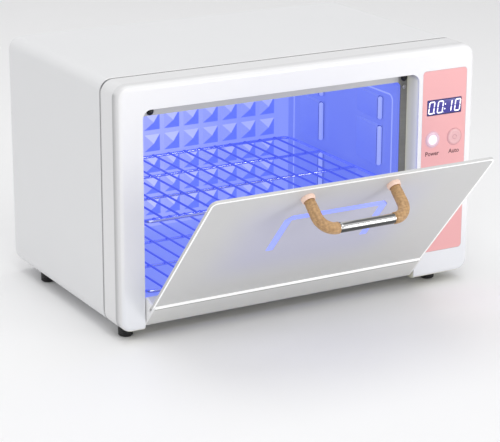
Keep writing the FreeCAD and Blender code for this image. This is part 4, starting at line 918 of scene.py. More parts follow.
def fit(
    piece: bpy.types.Object, body: Body, slot: str, finish: Finish, *nodes: str
) -> bpy.types.Object:
    """Finish a piece: material, the body that it rides on and the nodes it stands for.

    Args:
        piece: The piece to finish.
        body: The body that it rides on.
        slot: Not used.
        finish: How it looks.
        nodes: The CAD nodes that it replaces.

    Returns:
        The same piece.
    """
    piece.data.materials.clear()
    piece.data.materials.append(finish.material())
    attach(piece, body.value)
    if nodes:
        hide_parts(*nodes)
    LOG.info("%s rides on %s, for %s", piece.name, body.value, ", ".join(nodes) or "itself")
    return piece


def coat(finish: Finish, crisp: float, *nodes: str) -> None:
    """Finish CAD nodes that are kept.

    Args:
        finish: How they look.
        crisp: Edges that turn more than this many degrees stay sharp.
        nodes: Names of the nodes.
    """
    for name in nodes:
        mesh = frame["nodes"][name].data
        mesh.materials.clear()
        mesh.materials.append(finish.material())
        mesh.polygons.foreach_set("use_smooth", [True] * len(mesh.polygons))
        mesh.set_sharp_from_angle(angle=math.radians(crisp))
        LOG.info("%s is finished in %s", name, finish.name)


def screw(name: str, place: Matrix, radius: float, rise: float) -> bpy.types.Object:
    """Pan head with a cross recess, standing on local Z = 0.

    Args:
        name: Name of the piece.
        place: Frame whose Z axis is the screw's axis.
        radius: Radius of the head.
        rise: Height of the head.

    Returns:
        The head.
    """
    profile = [
        (radius, 0.0),
        (radius, rise * 0.35),
        (radius * 0.92, rise * 0.70),
        (radius * 0.72, rise * 0.92),
        (0.0, rise),
    ]
    head = lathe(name, profile, place, 28)
    arms = [
        soft_box(
            f"{name}_slot_{index}",
            (-radius * wide, -radius * tall, rise * 0.45),
            (radius * wide, radius * tall, rise * 1.4),
            radius * 0.03,
            1,
        )
        for index, (wide, tall) in enumerate(((0.62, 0.13), (0.13, 0.62)))
    ]
    for arm in arms:
        arm.data.transform(place)
        cutter = head.modifiers.new("slot", "BOOLEAN")
        cutter.operation = "DIFFERENCE"
        cutter.solver = "EXACT"
        cutter.object = arm
    bpy.context.view_layer.update()
    graph = bpy.context.evaluated_depsgraph_get()
    mesh = bpy.data.meshes.new_from_object(head.evaluated_get(graph))
    for piece in (head, *arms):
        bpy.data.objects.remove(piece)
    return link(name, mesh)


def rounded_outline(
    low: tuple[float, float], high: tuple[float, float], radius: float, steps: int = 6
) -> list[tuple[float, float]]:
    """Corners of a rounded rectangle, anticlockwise."""
    corners = (
        (high[0] - radius, high[1] - radius, 0),
        (low[0] + radius, high[1] - radius, 90),
        (low[0] + radius, low[1] + radius, 180),
        (high[0] - radius, low[1] + radius, 270),
    )
    points = []
    for x, y, start in corners:
        for index in range(steps + 1):
            turn = math.radians(start + 90 * index / steps)
            points.append((x + radius * math.cos(turn), y + radius * math.sin(turn)))
    return points


FACING_FRONT = Matrix(((1, 0, 0, 0), (0, 0, 1, 0), (0, 1, 0, 0), (0, 0, 0, 1)))


def front_place(y: float) -> Matrix:
    """Matrix for outlines drawn in X and Z, whose depth runs back along +Y from y."""
    return Matrix.Translation((0, y, 0)) @ FACING_FRONT


# --- sub-assemblies --------------------------------------------------------------------------
@dataclass
class Assembly:
    """A group of pieces: build makes the meshes, dress finishes the CAD nodes it keeps."""

    def build(self) -> None:
        """Make this group's meshes."""

    def dress(self) -> None:
        """Give the kept CAD nodes their finishes."""


@dataclass
class Case(Assembly):
    """Painted wrap, base, rear panel, white front frame and feet."""

    def build(self) -> None:
        """Make the feet and the seam line between the wrap and the front frame."""
        for name in ("front_left", "front_right", "rear_left", "rear_right"):
            self.foot(f"foot_{name}")
        self.seam()

    def foot(self, node: str) -> None:
        """Tapered rubber foot with a ribbed side and a moulded rim round its screw well."""
        low, high = span(node)
        centre = (low + high) / 2
        radius, height = (high.x - low.x) / 2, high.z
        profile = [
            (radius * 0.55, height * 0.30),
            (radius * 0.55, height * 0.02),
            (radius * 0.62, 0.0),
            (radius * 0.80, 0.0),
            (radius * 0.88, height * 0.04),
        ]
        for index in range(4):
            level = height * (0.10 + 0.18 * index)
            profile += [
                (radius * 0.93, level),
                (radius * 0.99, level + height * 0.03),
                (radius * 0.99, level + height * 0.11),
                (radius * 0.93, level + height * 0.14),
            ]
        profile += [(radius * 0.99, height * 0.90), (radius, height), (radius * 0.3, height)]
        profile += [(radius * 0.3, height * 0.30)]
        place = Matrix.Translation((centre.x, centre.y, 0))
        piece = lathe(f"{node}_ribbed", [*profile, profile[0]], place)
        fit(piece, Body.CABINET, "rubber_black", RUBBER, node)

    def seam(self) -> None:
        """Dark band in the gap between the wrap and the front frame, as painted shade."""
        wrap_low, wrap_high = span("case_wrap")
        bezel_high = span("front_bezel")[1]
        inset = 0.6 * MM
        outer = rounded_outline(
            (wrap_low.x + inset, wrap_low.z + inset),
            (wrap_high.x - inset, wrap_high.z - inset), 11.4 * MM, 10,
        )
        inner = rounded_outline(
            (wrap_low.x + 2.4 * MM, wrap_low.z + 2.4 * MM),
            (wrap_high.x - 2.4 * MM, wrap_high.z - 2.4 * MM), 9.6 * MM, 10,
        )
        # Painted shade: a dark sheet set in the seam's gap.
        piece = hoop("seam_shade", outer, inner, bezel_high.y - 0.1 * MM, wrap_low.y + 0.1 * MM)
        fit(piece, Body.CABINET, "rubber_black", BLACK)

    def dress(self) -> None:
        """Paint the case, the front frame and the base, and plate the screws."""
        coat(WRAP_PAINT, 28.0, "case_wrap")
        coat(CASE_PAINT, 35.0, "base_pan", "rear_panel")
        coat(BEZEL_GLOSS, 28.0, "front_bezel")
        coat(ZINC, 35.0, "foot_screws", "case_screws")


def hoop(
    name: str,
    outer: Sequence[tuple[float, float]],
    inner: Sequence[tuple[float, float]],
    front: float,
    back: float,
) -> bpy.types.Object:
    """Closed band between two outlines with the same number of corners.

    Args:
        name: The piece's name.
        outer: Outer outline in X and Z.
        inner: Inner outline in X and Z.
        front: Y of the front edge.
        back: Y of the back edge.

    Returns:
        The band.
    """
    count = len(outer)
    verts = []
    for outline, y in ((outer, front), (outer, back), (inner, back), (inner, front)):
        verts += [(x, y, z) for x, z in outline]
    faces = []
    for ring in range(4):
        after = (ring + 1) % 4
        for index in range(count):
            ahead = (index + 1) % count
            faces.append(
                [ring * count + index, ring * count + ahead,
                 after * count + ahead, after * count + index]
            )
    return mesh_object(name, verts, faces, 30.0)


SEGMENTS = {"0": "abcdef", "1": "bc"}


@dataclass
class ControlPanel(Assembly):
    """Pink insert, tinted window with lit digits, two buttons and their labels."""

    time: str = "0010"
    slant: float = 0.13

    def build(self) -> None:
        """Make the window, digits, buttons and labels."""
        self.window()
        self.digits()
        low, high = span("power_button")
        centre = (low + high) / 2
        lit = LitCap(
            "button_lit", (0.97, 0.94, 0.99), 0.35, glow=(0.95, 0.88, 1.0), glow_strength=0.45,
            centre=(centre.x, centre.z),
        )
        self.button("power_button", Body.POWER, "button_white", lit, RING_PALE)
        self.button("auto_button", Body.AUTO, "button_pink", CAP_PINK, FASCIA_RING)
        self.label("power_button", "Power")
        self.label("auto_button", "Auto")
        self.auto_mark()

    def window(self) -> None:
        """Tinted window with softly rounded corners and a darker printed border."""
        low, high = span("display_window")
        outline = rounded_outline((low.x, low.z), (high.x, high.z), 0.9 * MM)
        plate = prism("display_window_pane", outline, front_place(low.y), high.y - low.y, 0.15 * MM)
        fit(plate, Body.CABINET, "display_tint", WINDOW_TINT, "display_window")
        rim = 1.0 * MM
        inner = rounded_outline((low.x + rim, low.z + rim), (high.x - rim, high.z - rim), 0.5 * MM)
        outer = rounded_outline(
            (low.x + 0.1 * MM, low.z + 0.1 * MM), (high.x - 0.1 * MM, high.z - 0.1 * MM), 0.8 * MM
        )
        border = hoop("display_border", outer, inner, low.y - 0.05 * MM, low.y + 0.05 * MM)
        fit(border, Body.CABINET, "display_tint", BORDER_VIOLET)

    def digits(self) -> None:
        """Four slanted seven-segment digits, the first two with a point, and a colon, glowing
        behind the window.
        """
        low, high = span("display_window")
        centre = (low + high) / 2
        pitch, width, height, stroke = 10.0 * MM, 5.7 * MM, 11.0 * MM, 1.05 * MM
        face, margin = low.y - 0.06 * MM, 1.7 * MM
        lit: list[bpy.types.Object] = []
        for index, figure in enumerate(self.time):
            left = low.x + margin + index * pitch
            foot = centre.z - height / 2
            for key in SEGMENTS[figure]:
                lit.append(self.segment(key, left, foot, width, height, stroke, face, index))
            if index < 2:
                spot = (left + width + 0.95 * MM, foot + stroke * 0.2)
                lit.append(self.dot(f"point_{index}", spot, stroke * 0.46, face))
        middle = low.x + margin + 2 * pitch - 1.0 * MM
        for index, rise in enumerate((-2.3 * MM, 2.3 * MM)):
            spot = (middle + rise * self.slant, centre.z + rise)
            lit.append(self.dot(f"colon_{index}", spot, stroke * 0.62, face))
        piece = join("display_digits", lit)
        fit(piece, Body.CABINET, "display_tint", DIGIT_LIGHT)

    def dot(
        self, name: str, spot: tuple[float, float], radius: float, face: float
    ) -> bpy.types.Object:
        """Small round-cornered lit point."""
        outline = [
            (spot[0] + x, spot[1] + z)
            for x, z in rounded_outline((-radius, -radius), (radius, radius), radius * 0.8, 3)
        ]
        return prism(name, outline, front_place(face), 0.12 * MM)

    def segment(
        self, key: str, left: float, foot: float, width: float, height: float,
        stroke: float, face: float, index: int,
    ) -> bpy.types.Object:
        """One pointed bar of a digit, leaning with the digit's slant."""
        half, gap, middle = stroke / 2, 0.18 * MM, height / 2
        ends = {
            "a": ((0, height), (width, height)),
            "b": ((width, height), (width, middle)),
            "c": ((width, middle), (width, 0)),
            "d": ((0, 0), (width, 0)),
            "e": ((0, middle), (0, 0)),
            "f": ((0, height), (0, middle)),
            "g": ((0, middle), (width, middle)),
        }
        start, end = (Vector(point) for point in ends[key])
        along = (end - start).normalized()
        aside = Vector((-along.y, along.x)) * half
        start, end = start + along * gap, end - along * gap
        tip = along * half
        corners = [start, start + tip + aside, end - tip + aside, end, end - tip - aside,
                   start + tip - aside]
        outline = [(left + p.x + p.y * self.slant, foot + p.y) for p in corners]
        return prism(f"segment_{index}_{key}", outline, front_place(face), 0.12 * MM)

    def button(
        self, node: str, body: Body, slot: str, finish: Finish, around: Finish
    ) -> None:
        """Domed push button with a fine moulded ring round it on the insert."""
        low, high = span(node)
        centre = (low + high) / 2
        radius = (high.x - low.x) / 2
        place = facing(centre, high.y)
        deep = high.y - low.y
        profile = [
            (0.0, 0.0),
            (radius * 0.96, 0.0),
            (radius, 0.3 * MM),
            (radius, deep - 0.75 * MM),
            (radius * 0.97, deep - 0.45 * MM),
            (radius * 0.90, deep - 0.18 * MM),
            (radius * 0.76, deep - 0.04 * MM),
            (radius * 0.70, deep - 0.04 * MM),
            (radius * 0.66, deep - 0.22 * MM),
            (radius * 0.60, deep - 0.22 * MM),
            (radius * 0.35, deep - 0.12 * MM),
            (0.0, deep - 0.10 * MM),
        ]
        cap = lathe(f"{node}_cap", profile, place)
        fit(cap, body, slot, finish, node)
        inner, outer = radius + 0.35 * MM, radius + 0.80 * MM
        ring_place = facing(centre, FRONT_Y + 0.2 * MM)
        ring = lathe(
            f"{node}_ring",
            [(inner, 0.0), (outer, 0.0), (outer, 0.25 * MM), (outer - 0.1 * MM, 0.35 * MM),
             (inner + 0.1 * MM, 0.35 * MM), (inner, 0.25 * MM), (inner, 0.0)],
            ring_place,
        )
        fit(ring, Body.CABINET, "fascia_pink", around)

    def label(self, node: str, words: str) -> None:
        """Small printed word under a button."""
        low, high = span(node)
        curve = bpy.data.curves.new(f"label_{words}", "FONT")
        curve.body = words
        curve.size = 6.0 * MM
        curve.offset = 0.09 * MM
        curve.extrude = 0.05 * MM
        curve.resolution_u = 3
        curve.align_x = "CENTER"
        text = bpy.data.objects.new(f"label_{words}", curve)
        bpy.context.scene.collection.objects.link(text)
        bpy.context.view_layer.update()
        graph = bpy.context.evaluated_depsgraph_get()
        mesh = bpy.data.meshes.new_from_object(text.evaluated_get(graph))
        bpy.data.objects.remove(text)
        middle = (low.x + high.x) / 2
        turn = Matrix.Rotation(math.pi / 2, 4, "X")
        mesh.transform(Matrix.Translation((middle, FRONT_Y - 0.03 * MM, low.z - 8.2 * MM)) @ turn)
        work = bmesh.new()
        work.from_mesh(mesh)
        bmesh.ops.remove_doubles(work, verts=work.verts, dist=1e-6)
        bmesh.ops.recalc_face_normals(work, faces=work.faces)
        work.to_mesh(mesh)
        work.free()
        piece = link(f"label_{words.lower()}", mesh)
        fit(piece, Body.CABINET, "fascia_pink", LABEL_INK)

    def auto_mark(self) -> None:
        """Open circular arrow printed on the second button."""
        low, high = span("auto_button")
        centre = (low + high) / 2
        across, up = Vector((1, 0, 0)), Vector((0, 0, 1))
        middle = (centre.x, low.y + 0.10 * MM, centre.z)
        loop = tube("mark_loop", arc(middle, 2.2 * MM, 20, 320, 24, across, up), 0.22 * MM, sides=8)
        tip = Vector(middle) + across * 2.2 * MM * math.cos(math.radians(20))
        tip += up * 2.2 * MM * math.sin(math.radians(20))
        arrow = prism(
            "mark_tip",
            [(tip.x - 0.8 * MM, tip.z), (tip.x + 0.8 * MM, tip.z), (tip.x, tip.z - 1.0 * MM)],
            front_place(middle[1] - 0.18 * MM), 0.36 * MM,
        )
        piece = join("auto_mark", [loop, arrow])
        fit(piece, Body.AUTO, "button_pink", FASCIA_RING)

    def dress(self) -> None:
        """Finish the insert and the parts behind it."""
        coat(FASCIA_PINK, 30.0, "control_fascia")
        coat(BOARD, 35.0, "control_board")
        coat(BLACK, 35.0, "display_module", "power_switch", "auto_switch")
        coat(SOCKET_WHITE, 35.0, "board_posts")
        coat(ZINC, 35.0, "board_screws")


@dataclass
class Chamber(Assembly):
    """Lit steel chamber: supports with embossed pads, flange, bumpers and reflector tray."""

    def build(self) -> None:
        """Make the bumpers, the pads' rounded noses and the stamped border of the right wall."""
        for side in ("left", "right"):
            self.bumper(f"bumper_{side}")
        for side, inward in (("left", 1.0), ("right", -1.0)):
            self.liner(f"rack_support_{side}", inward)
        self.screw_heads()

    def bumper(self, node: str) -> None:
        """Small rubber dome with a collar, pressed into the flange."""
        low, high = span(node)
        centre = (low + high) / 2
        radius, deep = (high.x - low.x) / 2, high.y - low.y
        place = facing(centre, high.y)
        profile = [(0.0, 0.0), (radius * 0.98, 0.0), (radius, deep * 0.12), (radius, deep * 0.28)]
        profile += [(radius * 0.86, deep * 0.36)]
        for index in range(1, 7):
            turn = math.radians(90 * index / 6)
            profile.append((radius * 0.86 * math.cos(turn), deep * (0.36 + 0.64 * math.sin(turn))))
        profile[-1] = (0.0, deep)
        piece = lathe(f"{node}_dome", profile, place, 32)
        fit(piece, Body.CABINET, "rubber_black", RUBBER, node)

    def liner(self, node: str, inward: float) -> None:
        """Side liner: a sheet with pads that fade out towards the rear, noses in painted light with
        rims of painted shade round them, and a border bead.
        """
        low, high = span(node)
        wall = low.x if inward > 0 else high.x
        sheet, reach = 0.8 * MM, high.x - low.x
        face = wall + inward * sheet
        across = sorted((wall, face))
        body = [soft_box(f"{node}_sheet", (across[0], low.y, low.z), (across[1], high.y, high.z),
                         0.3 * MM, 2)]
        noses, shaded_rims = [], []
        for start, end in pad_rows(low.z, high.z):
            for front in PAD_FRONTS:
                y = FRONT_Y + front
                body.append(self.pad(f"{node}_pad", (wall, wall + inward * reach),
                                     (y, y + PAD_LENGTH), (start, end)))
                radius = min(2.5 * MM, (end - start) * 0.3)
                nose = Vector((wall + inward * 3.7 * MM, y - 0.5 * MM, start))
                noses.append(self.capsule(f"{node}_nose", nose, end - start, radius))
                # Painted shade: a larger, darker capsule just behind and below each nose.
                rim = Vector((wall + inward * 3.3 * MM, y + 0.7 * MM, start - 0.4 * MM))
                shaded_rims.append(self.capsule(f"{node}_rim", rim, end - start + 0.8 * MM,
                                         radius + 0.7 * MM))
        fit(join(f"{node}_liner", body), Body.CABINET, "cavity_steel", CHAMBER, node)
        fit(join(f"{node}_noses", noses), Body.CABINET, "cavity_steel", NOSE_LIT)
        fit(join(f"{node}_rims", shaded_rims), Body.CABINET, "cavity_steel", NOSE_SHADE)
        self.border(node, face, low, high)

    def capsule(
        self, name: str, foot: Vector, height: float, radius: float
    ) -> bpy.types.Object:
        """Upright bar with fully rounded ends, standing on its foot point."""
        profile = [(0.0, 0.0)]
        for index in range(1, 7):
            turn = math.radians(90 * index / 6)
            profile.append((radius * math.sin(turn), radius * (1 - math.cos(turn))))
        profile += [(wide, height - rise) for wide, rise in reversed(profile)]
        return lathe(name, profile, Matrix.Translation(foot), 24)

    def pad(
        self, name: str, x: tuple[float, float], y: tuple[float, float], z: tuple[float, float]
    ) -> bpy.types.Object:
        """Rounded pad whose inner face slopes back to the wall at its rear end."""
        work = bmesh.new()
        bmesh.ops.create_cube(work, size=1.0)
        wall, tip = x
        for vert in work.verts:
            rear = vert.co.y > 0
            inner = vert.co.x > 0
            out = wall + (tip - wall) * ((0.14 if rear else 1.0) if inner else 0.0)
            vert.co = Vector((out, y[1] if rear else y[0], z[1] if vert.co.z > 0 else z[0]))
        bmesh.ops.recalc_face_normals(work, faces=work.faces)
        edge = min(0.45 * MM, (z[1] - z[0]) * 0.2)
        bmesh.ops.bevel(work, geom=list(work.edges), offset=edge, segments=3, profile=0.5,
                        affect="EDGES", clamp_overlap=True)
        return take(name, work)

    def border(self, node: str, face: float, low: Vector, high: Vector) -> None:
        """Raised bead stamped round the liner, with rounded corners."""
        across, up = Vector((0, 1, 0)), Vector((0, 0, 1))
        path = rounded_loop(
            lambda y, z: (face, y, z), (low.y + 8 * MM, low.z + 4 * MM),
            (high.y - 12 * MM, high.z - 10 * MM), 6 * MM, 6, across, up,
        )
        bead = tube(f"{node}_border", path, 0.7 * MM, closed=True, sides=12)
        # The bead is finished in the lit copy of the steel, as painted light.
        fit(bead, Body.CABINET, "cavity_steel", NOSE_LIT)

    def screw_heads(self) -> None:
        """Small pan-head screws that hold the flange, with their cross recesses."""
        heads = []
        for index, (low, high) in enumerate(islands("flange_screws")):
            centre = (low + high) / 2
            place = facing(centre, low.y + 1.2 * MM)
            heads.append(screw(f"flange_head_{index}", place, (high.x - low.x) / 2, 1.2 * MM))
        piece = join("flange_screw_heads", heads)
        fit(piece, Body.CABINET, "steel_hardware", ZINC, "flange_screws")

    def dress(self) -> None:
        """Light the chamber's steel and finish the flange."""
        coat(CHAMBER, 30.0, "cavity_shell")
        coat(PYRAMIDS, 4.0, "cavity_rear_wall")
        coat(FLANGE, 30.0, "cavity_flange")
        coat(TRAY_SHEET, 30.0, "reflector_tray")


PAD_FRONTS = (0.050, 0.158)
PAD_LENGTH = 0.045


def pad_rows(low: float, high: float) -> list[tuple[float, float]]:
    """Lower and upper height of each row of pads, between and above the two racks."""
    lower, upper = span("lower_rack"), span("upper_rack")
    seats = [lower[0].z - 0.3 * MM, upper[0].z - 0.3 * MM]
    slot = 13 * MM
    return [
        (low, seats[0]),
        (seats[0] + slot + 2 * MM, seats[1]),
        (seats[1] + slot, seats[1] + slot + 40 * MM),
        (high + 5.5 * MM - 43 * MM, high + 5.5 * MM - 20 * MM),
    ]


def islands(node: str) -> list[tuple[Vector, Vector]]:
    """Corners of each separate solid of a CAD node, ordered by height, then by X."""
    work = bmesh.new()
    work.from_mesh(frame["nodes"][node].data)
    bmesh.ops.remove_doubles(work, verts=work.verts, dist=1e-6)
    work.verts.ensure_lookup_table()
    seen: set[int] = set()
    found = []
    for vert in work.verts:
        if vert.index in seen:
            continue
        stack, group = [vert], []
        seen.add(vert.index)
        while stack:
            here = stack.pop()
            group.append(here.co.copy())
            for edge in here.link_edges:
                other = edge.other_vert(here)
                if other.index not in seen:
                    seen.add(other.index)
                    stack.append(other)
        found.append(limits(group))
    work.free()
    return sorted(found, key=lambda pair: (round(pair[0].z, 4), round(pair[0].x, 4)))


@dataclass
class Racks(Assembly):
    """Two chromed wire racks, with rods welded under their ends to a bent outer loop."""

    wire: float = 2.0 * MM
    slim: float = 1.5 * MM
    rod: float = 1.05 * MM
    corner: float = 10.0 * MM
    spaces: int = 15

    def build(self) -> None:
        """Make both racks."""
        self.rack("upper_rack", Body.UPPER)
        self.rack("lower_rack", Body.LOWER)

    def rack(self, node: str, body: Body) -> None:
        """Loop, cross wires, rods with small weld collars at each crossing."""
        low, high = span(node)
        wire, slim, rod = self.wire, self.slim, self.rod
        z = low.z + wire
        left, right = low.x + wire, high.x - wire
        front, back = low.y + wire, high.y - wire
        across, along = Vector((1, 0, 0)), Vector((0, 1, 0))
        path = rounded_loop(
            lambda x, y: (x, y, z), (left, front), (right, back), self.corner, 8, across, along
        )
        parts = [tube(f"{node}_loop", path, slim, closed=True, sides=20)]
        rods: list[bpy.types.Object] = []
        crossings: list[float] = []
        for index in (1, 2):
            y = front + (back - front) * index / 3
            crossings.append(y)
            ends = [Vector((left, y, z)), Vector((right, y, z))]
            parts.append(tube(f"{node}_cross_{index}", ends, slim * 0.9, sides=18))
        top = z + slim + rod * 0.5
        pitch = (right - left) / self.spaces
        for index in range(1, self.spaces):
            x = left + pitch * index
            half = [(0.0, z + rod * 0.4), (1.2 * MM, top - 0.6 * MM), (3.0 * MM, top)]
            line = [Vector((x, front + run, rise)) for run, rise in half]
            line += [Vector((x, back - run, rise)) for run, rise in reversed(half)]
            rods.append(tube(f"{node}_rod_{index}", line, rod, sides=12))
            for y in crossings:
                rods.append(self.weld(f"{node}_weld_{index}", x, y, top - rod * 0.75))
        rails = join(f"{node}_rails", parts)
        fit(rails, body, "rack_chrome", LIT_RACK_RAIL, node)
        fit(join(f"{node}_rods", rods), body, "rack_chrome", LIT_RACK_ROD, node)

    def weld(self, name: str, x: float, y: float, z: float) -> bpy.types.Object:
        """Small flattened bead where a rod meets a cross wire."""
        radius = self.rod * 1.05
        profile = [(0.0, -radius * 0.5)]
        for index in range(1, 6):
            turn = math.radians(-90 + 180 * index / 6)
            profile.append((radius * math.cos(turn), radius * 0.5 * math.sin(turn)))
        profile.append((0.0, radius * 0.5))
        return lathe(name, profile, Matrix.Translation((x, y, z)), 12)


@dataclass
class Lamps(Assembly):
    """Two glowing tubes with metal caps, between moulded sockets."""

    def build(self) -> None:
        """Make both tubes."""
        for side in ("front", "rear"):
            self.lamp(f"uv_lamp_{side}")

    def lamp(self, node: str) -> None:
        """Glass tube with rounded necks, crimped caps and a grey cathode band at each end."""
        low, high = span(node)
        radius = (high.z - low.z) / 2
        middle = (low + high) / 2
        length = high.x - low.x
        cap = 12 * MM
        place = axis_matrix((low.x, middle.y, middle.z), (1, 0, 0))
        glass = [(0.0, cap * 0.5), (radius * 0.80, cap * 0.5), (radius * 0.86, cap)]
        for index in range(1, 6):
            turn = math.radians(90 * index / 5)
            reach = cap + 3 * MM * (1 - math.cos(turn))
            glass.append((radius * (0.86 + 0.11 * math.sin(turn)), reach))
        glass += [(a, length - b) for a, b in reversed(glass)]
        tube_piece = lathe(f"{node}_glass", glass, place, 40)
        finish = LampGlass(
            f"{node}_glow", (0.6, 0.65, 0.95), 0.1, glow=(0.30, 0.36, 1.0), glow_strength=0.9,
            reach=length / 2 - cap, middle=middle.x,
        )
        fit(tube_piece, Body.CABINET, "lamp_glass", finish, node)
        caps = []
        for index, flip in enumerate((False, True)):
            rows = [
                (0.0, 0.0),
                (radius * 0.90, 0.0),
                (radius * 0.99, 0.6 * MM),
                (radius * 0.99, cap - 2.2 * MM),
                (radius * 0.95, cap - 1.6 * MM),
                (radius * 0.99, cap - 1.0 * MM),
                (radius * 0.97, cap),
                (radius * 0.87, cap + 0.4 * MM),
                (0.0, cap + 0.4 * MM),
            ]
            start = (high.x if flip else low.x, middle.y, middle.z)
            caps.append(lathe(f"{node}_cap_{index}", rows,
                              axis_matrix(start, (-1 if flip else 1, 0, 0)), 40))
        piece = join(f"{node}_caps", caps)
        fit(piece, Body.CABINET, "lamp_glass", ZINC)

    def dress(self) -> None:
        """Finish the sockets and the ballast."""
        coat(SOCKET_WHITE, 35.0, "lamp_socket_left", "lamp_socket_right")
        coat(ENAMEL, 35.0, "lamp_ballast")


@dataclass
class Electrics(Assembly):
    """Inner boards, fuse, inlet and the door's sensor."""

    def dress(self) -> None:
        """Finish the boards, their bracket, the fuse and the inlet."""
        coat(BOARD, 35.0, "power_board")
        coat(ZINC, 35.0, "board_bracket")
        coat(BLACK, 35.0, "mains_inlet", "door_sensor", "fuse_holder")
        coat(BRASS, 35.0, "inlet_pins")
        coat(ENAMEL, 35.0, "fuse")


@dataclass
class Door(Assembly):
    """Drop-down door: satin panel with bright edges, bottom rail, end caps and lit strip."""

    turn: Matrix = field(default_factory=Matrix)

    def __post_init__(self) -> None:
        """Find how far the door is open at rest, from its hinge."""
        hinge = next(item for item in frame["joints"] if item["name"] == "door_hinge")
        pivot = Vector(hinge["pos_m"])
        angle = -math.radians(hinge["range_deg"][0])
        self.turn = (
            Matrix.Translation(pivot) @ Matrix.Rotation(angle, 4, "X") @ Matrix.Translation(-pivot)
        )

    def closed_span(self, node: str) -> tuple[Vector, Vector]:
        """Lowest and highest corner of a door node when the door is shut."""
        back = self.turn.inverted()
        return limits([back @ vert.co for vert in frame["nodes"][node].data.vertices])

    def put(
        self, piece: bpy.types.Object, slot: str, finish: Finish, *nodes: str
    ) -> bpy.types.Object:
        """Swing a piece made for the shut door out to its rest pose, and finish it."""
        piece.data.transform(self.turn)
        piece.data.update()
        return fit(piece, Body.DOOR, slot, finish, *nodes)

    def build(self) -> None:
        """Make the edge trim, the crease bead and the strip's bevelled bars."""
        self.edge_trim()
        self.crease()
        self.strip()
        self.rail_lines()

    def edge_trim(self) -> None:
        """White edge along the left side and the top of the panel, with a glow as painted
        highlight.
        """
        low, high = self.closed_span("door_panel")
        wide, proud = 2.2 * MM, 0.12 * MM
        radius = 6.0 * MM
        path: list[Vector] = []
        across, up = Vector((1, 0, 0)), Vector((0, 0, 1))
        y = low.y - proud
        path.append(Vector((low.x, y, low.z + 6 * MM)))
        path += arc((low.x + radius, y, high.z - radius), radius, 180, 90, 10, across, up)
        path += arc((high.x - radius, y, high.z - radius), radius, 90, 0, 10, across, up)
        path.append(Vector((high.x, y, low.z + 6 * MM)))
        centre = Vector(((low.x + high.x) / 2, y, (low.z + high.z) / 2))
        verts: list[Vector] = []
        faces: list[list[int]] = []
        for index, point in enumerate(path):
            before = path[max(index - 1, 0)]
            after = path[min(index + 1, len(path) - 1)]
            along = (after - before).normalized()
            inward = Vector((along.z, 0, -along.x))
            if inward.dot(centre - point) < 0:
                inward = -inward
            for shift, back in ((0.05 * MM, 0.25 * MM), (0.35 * MM, 0.0), (wide - 0.4 * MM, 0.0),
                                (wide, 0.30 * MM), (wide, 0.5 * MM), (0.05 * MM, 0.5 * MM)):
                verts.append(point + inward * shift + Vector((0, back, 0)))
        rows, size = len(path), 6
        for row in range(rows - 1):
            for corner in range(size):
                after = (corner + 1) % size
                faces.append([row * size + corner, row * size + after,
                              (row + 1) * size + after, (row + 1) * size + corner])
        faces.append(list(range(size)))
        faces.append(list(range((rows - 1) * size, rows * size)))
        self.put(mesh_object("door_edge_trim", verts, faces), "door_metal", EDGE_WHITE)

    def crease(self) -> None:
        """Rounded bead where the panel meets the bottom rail, white with a glow as painted
        highlight, and a strip of painted shade below it.
        """
        low, high = self.closed_span("door_rail")
        inset, radius = 0.6 * MM, 1.5 * MM
        path = [
            Vector((low.x + inset, low.y + 0.9 * MM, high.z - 1.2 * MM)),
            Vector((high.x - inset, low.y + 0.9 * MM, high.z - 1.2 * MM)),
        ]
        bead = tube("door_crease_bead", path, radius, sides=24)
        self.put(bead, "door_metal", EDGE_WHITE)
        shade = soft_box(
            "door_crease_shade",
            (low.x + inset, low.y - 0.06 * MM, high.z - 4.0 * MM),
            (high.x - inset, low.y + 0.6 * MM, high.z - 2.4 * MM), 0.05 * MM, 2,
        )
        self.put(shade, "door_metal", RAIL_SHADE)

    def rail_lines(self) -> None:
        """Fine extruded grooves along the bottom rail, as slim raised lines."""
        low, high = self.closed_span("door_rail")
        lines = []
        for index, share in enumerate((0.22, 0.80)):
            z = low.z + (high.z - low.z) * share
            lines.append(
                soft_box(
                    f"rail_line_{index}",
                    (low.x + 0.5 * MM, low.y - 0.08 * MM, z - 0.35 * MM),
                    (high.x - 0.5 * MM, low.y + 0.4 * MM, z + 0.35 * MM), 0.07 * MM, 2,
                )
            )
        self.put(join("door_rail_lines", lines), "door_metal", RAIL_METAL)

    def strip(self) -> None:
        """Glowing inlay: a bar with two legs, chamfered at its two upper corners."""
        low, high = self.closed_span("door_light_strip")
        wide = cut = 7.4 * MM
        inner = cut - wide * 0.41
        outline = [
            (low.x, low.z),
            (low.x + wide, low.z),
            (low.x + wide, high.z - wide - inner),
            (low.x + wide + inner, high.z - wide),
            (high.x - wide - inner, high.z - wide),
            (high.x - wide, high.z - wide - inner),
            (high.x - wide, low.z),
            (high.x, low.z),
            (high.x, high.z - cut),
            (high.x - cut, high.z),
            (low.x + cut, high.z),
            (low.x, high.z - cut),
        ]
        face = low.y - 0.05 * MM
        plate = prism("door_light_inlay", outline, front_place(face), high.y - face, 0.2 * MM)
        self.put(plate, "strip_blue", STRIP, "door_light_strip")

    def dress(self) -> None:
        """Finish the panel, the rail, the end caps and the hinge."""
        coat(
            DoorSheet("door_sheet", (0.64, 0.64, 0.635), 0.42, metallic=0.08, coat=0.05,
                      drift=0.02, grain=0.03, tint=(0.56, 0.56, 0.70), centre_x=-0.030,
                      half_width=0.120),
            30.0, "door_panel",
        )
        coat(RAIL_METAL, 30.0, "door_rail")
        coat(CAP_WHITE, 30.0, "door_end_cap_left", "door_end_cap_right")
        coat(BRASS, 30.0, "hinge_bush_left", "hinge_bush_right")
        coat(ZINC, 30.0, "hinge_pin_left", "hinge_pin_right", "handle_screws")
        coat(BLACK, 30.0, "door_magnet")


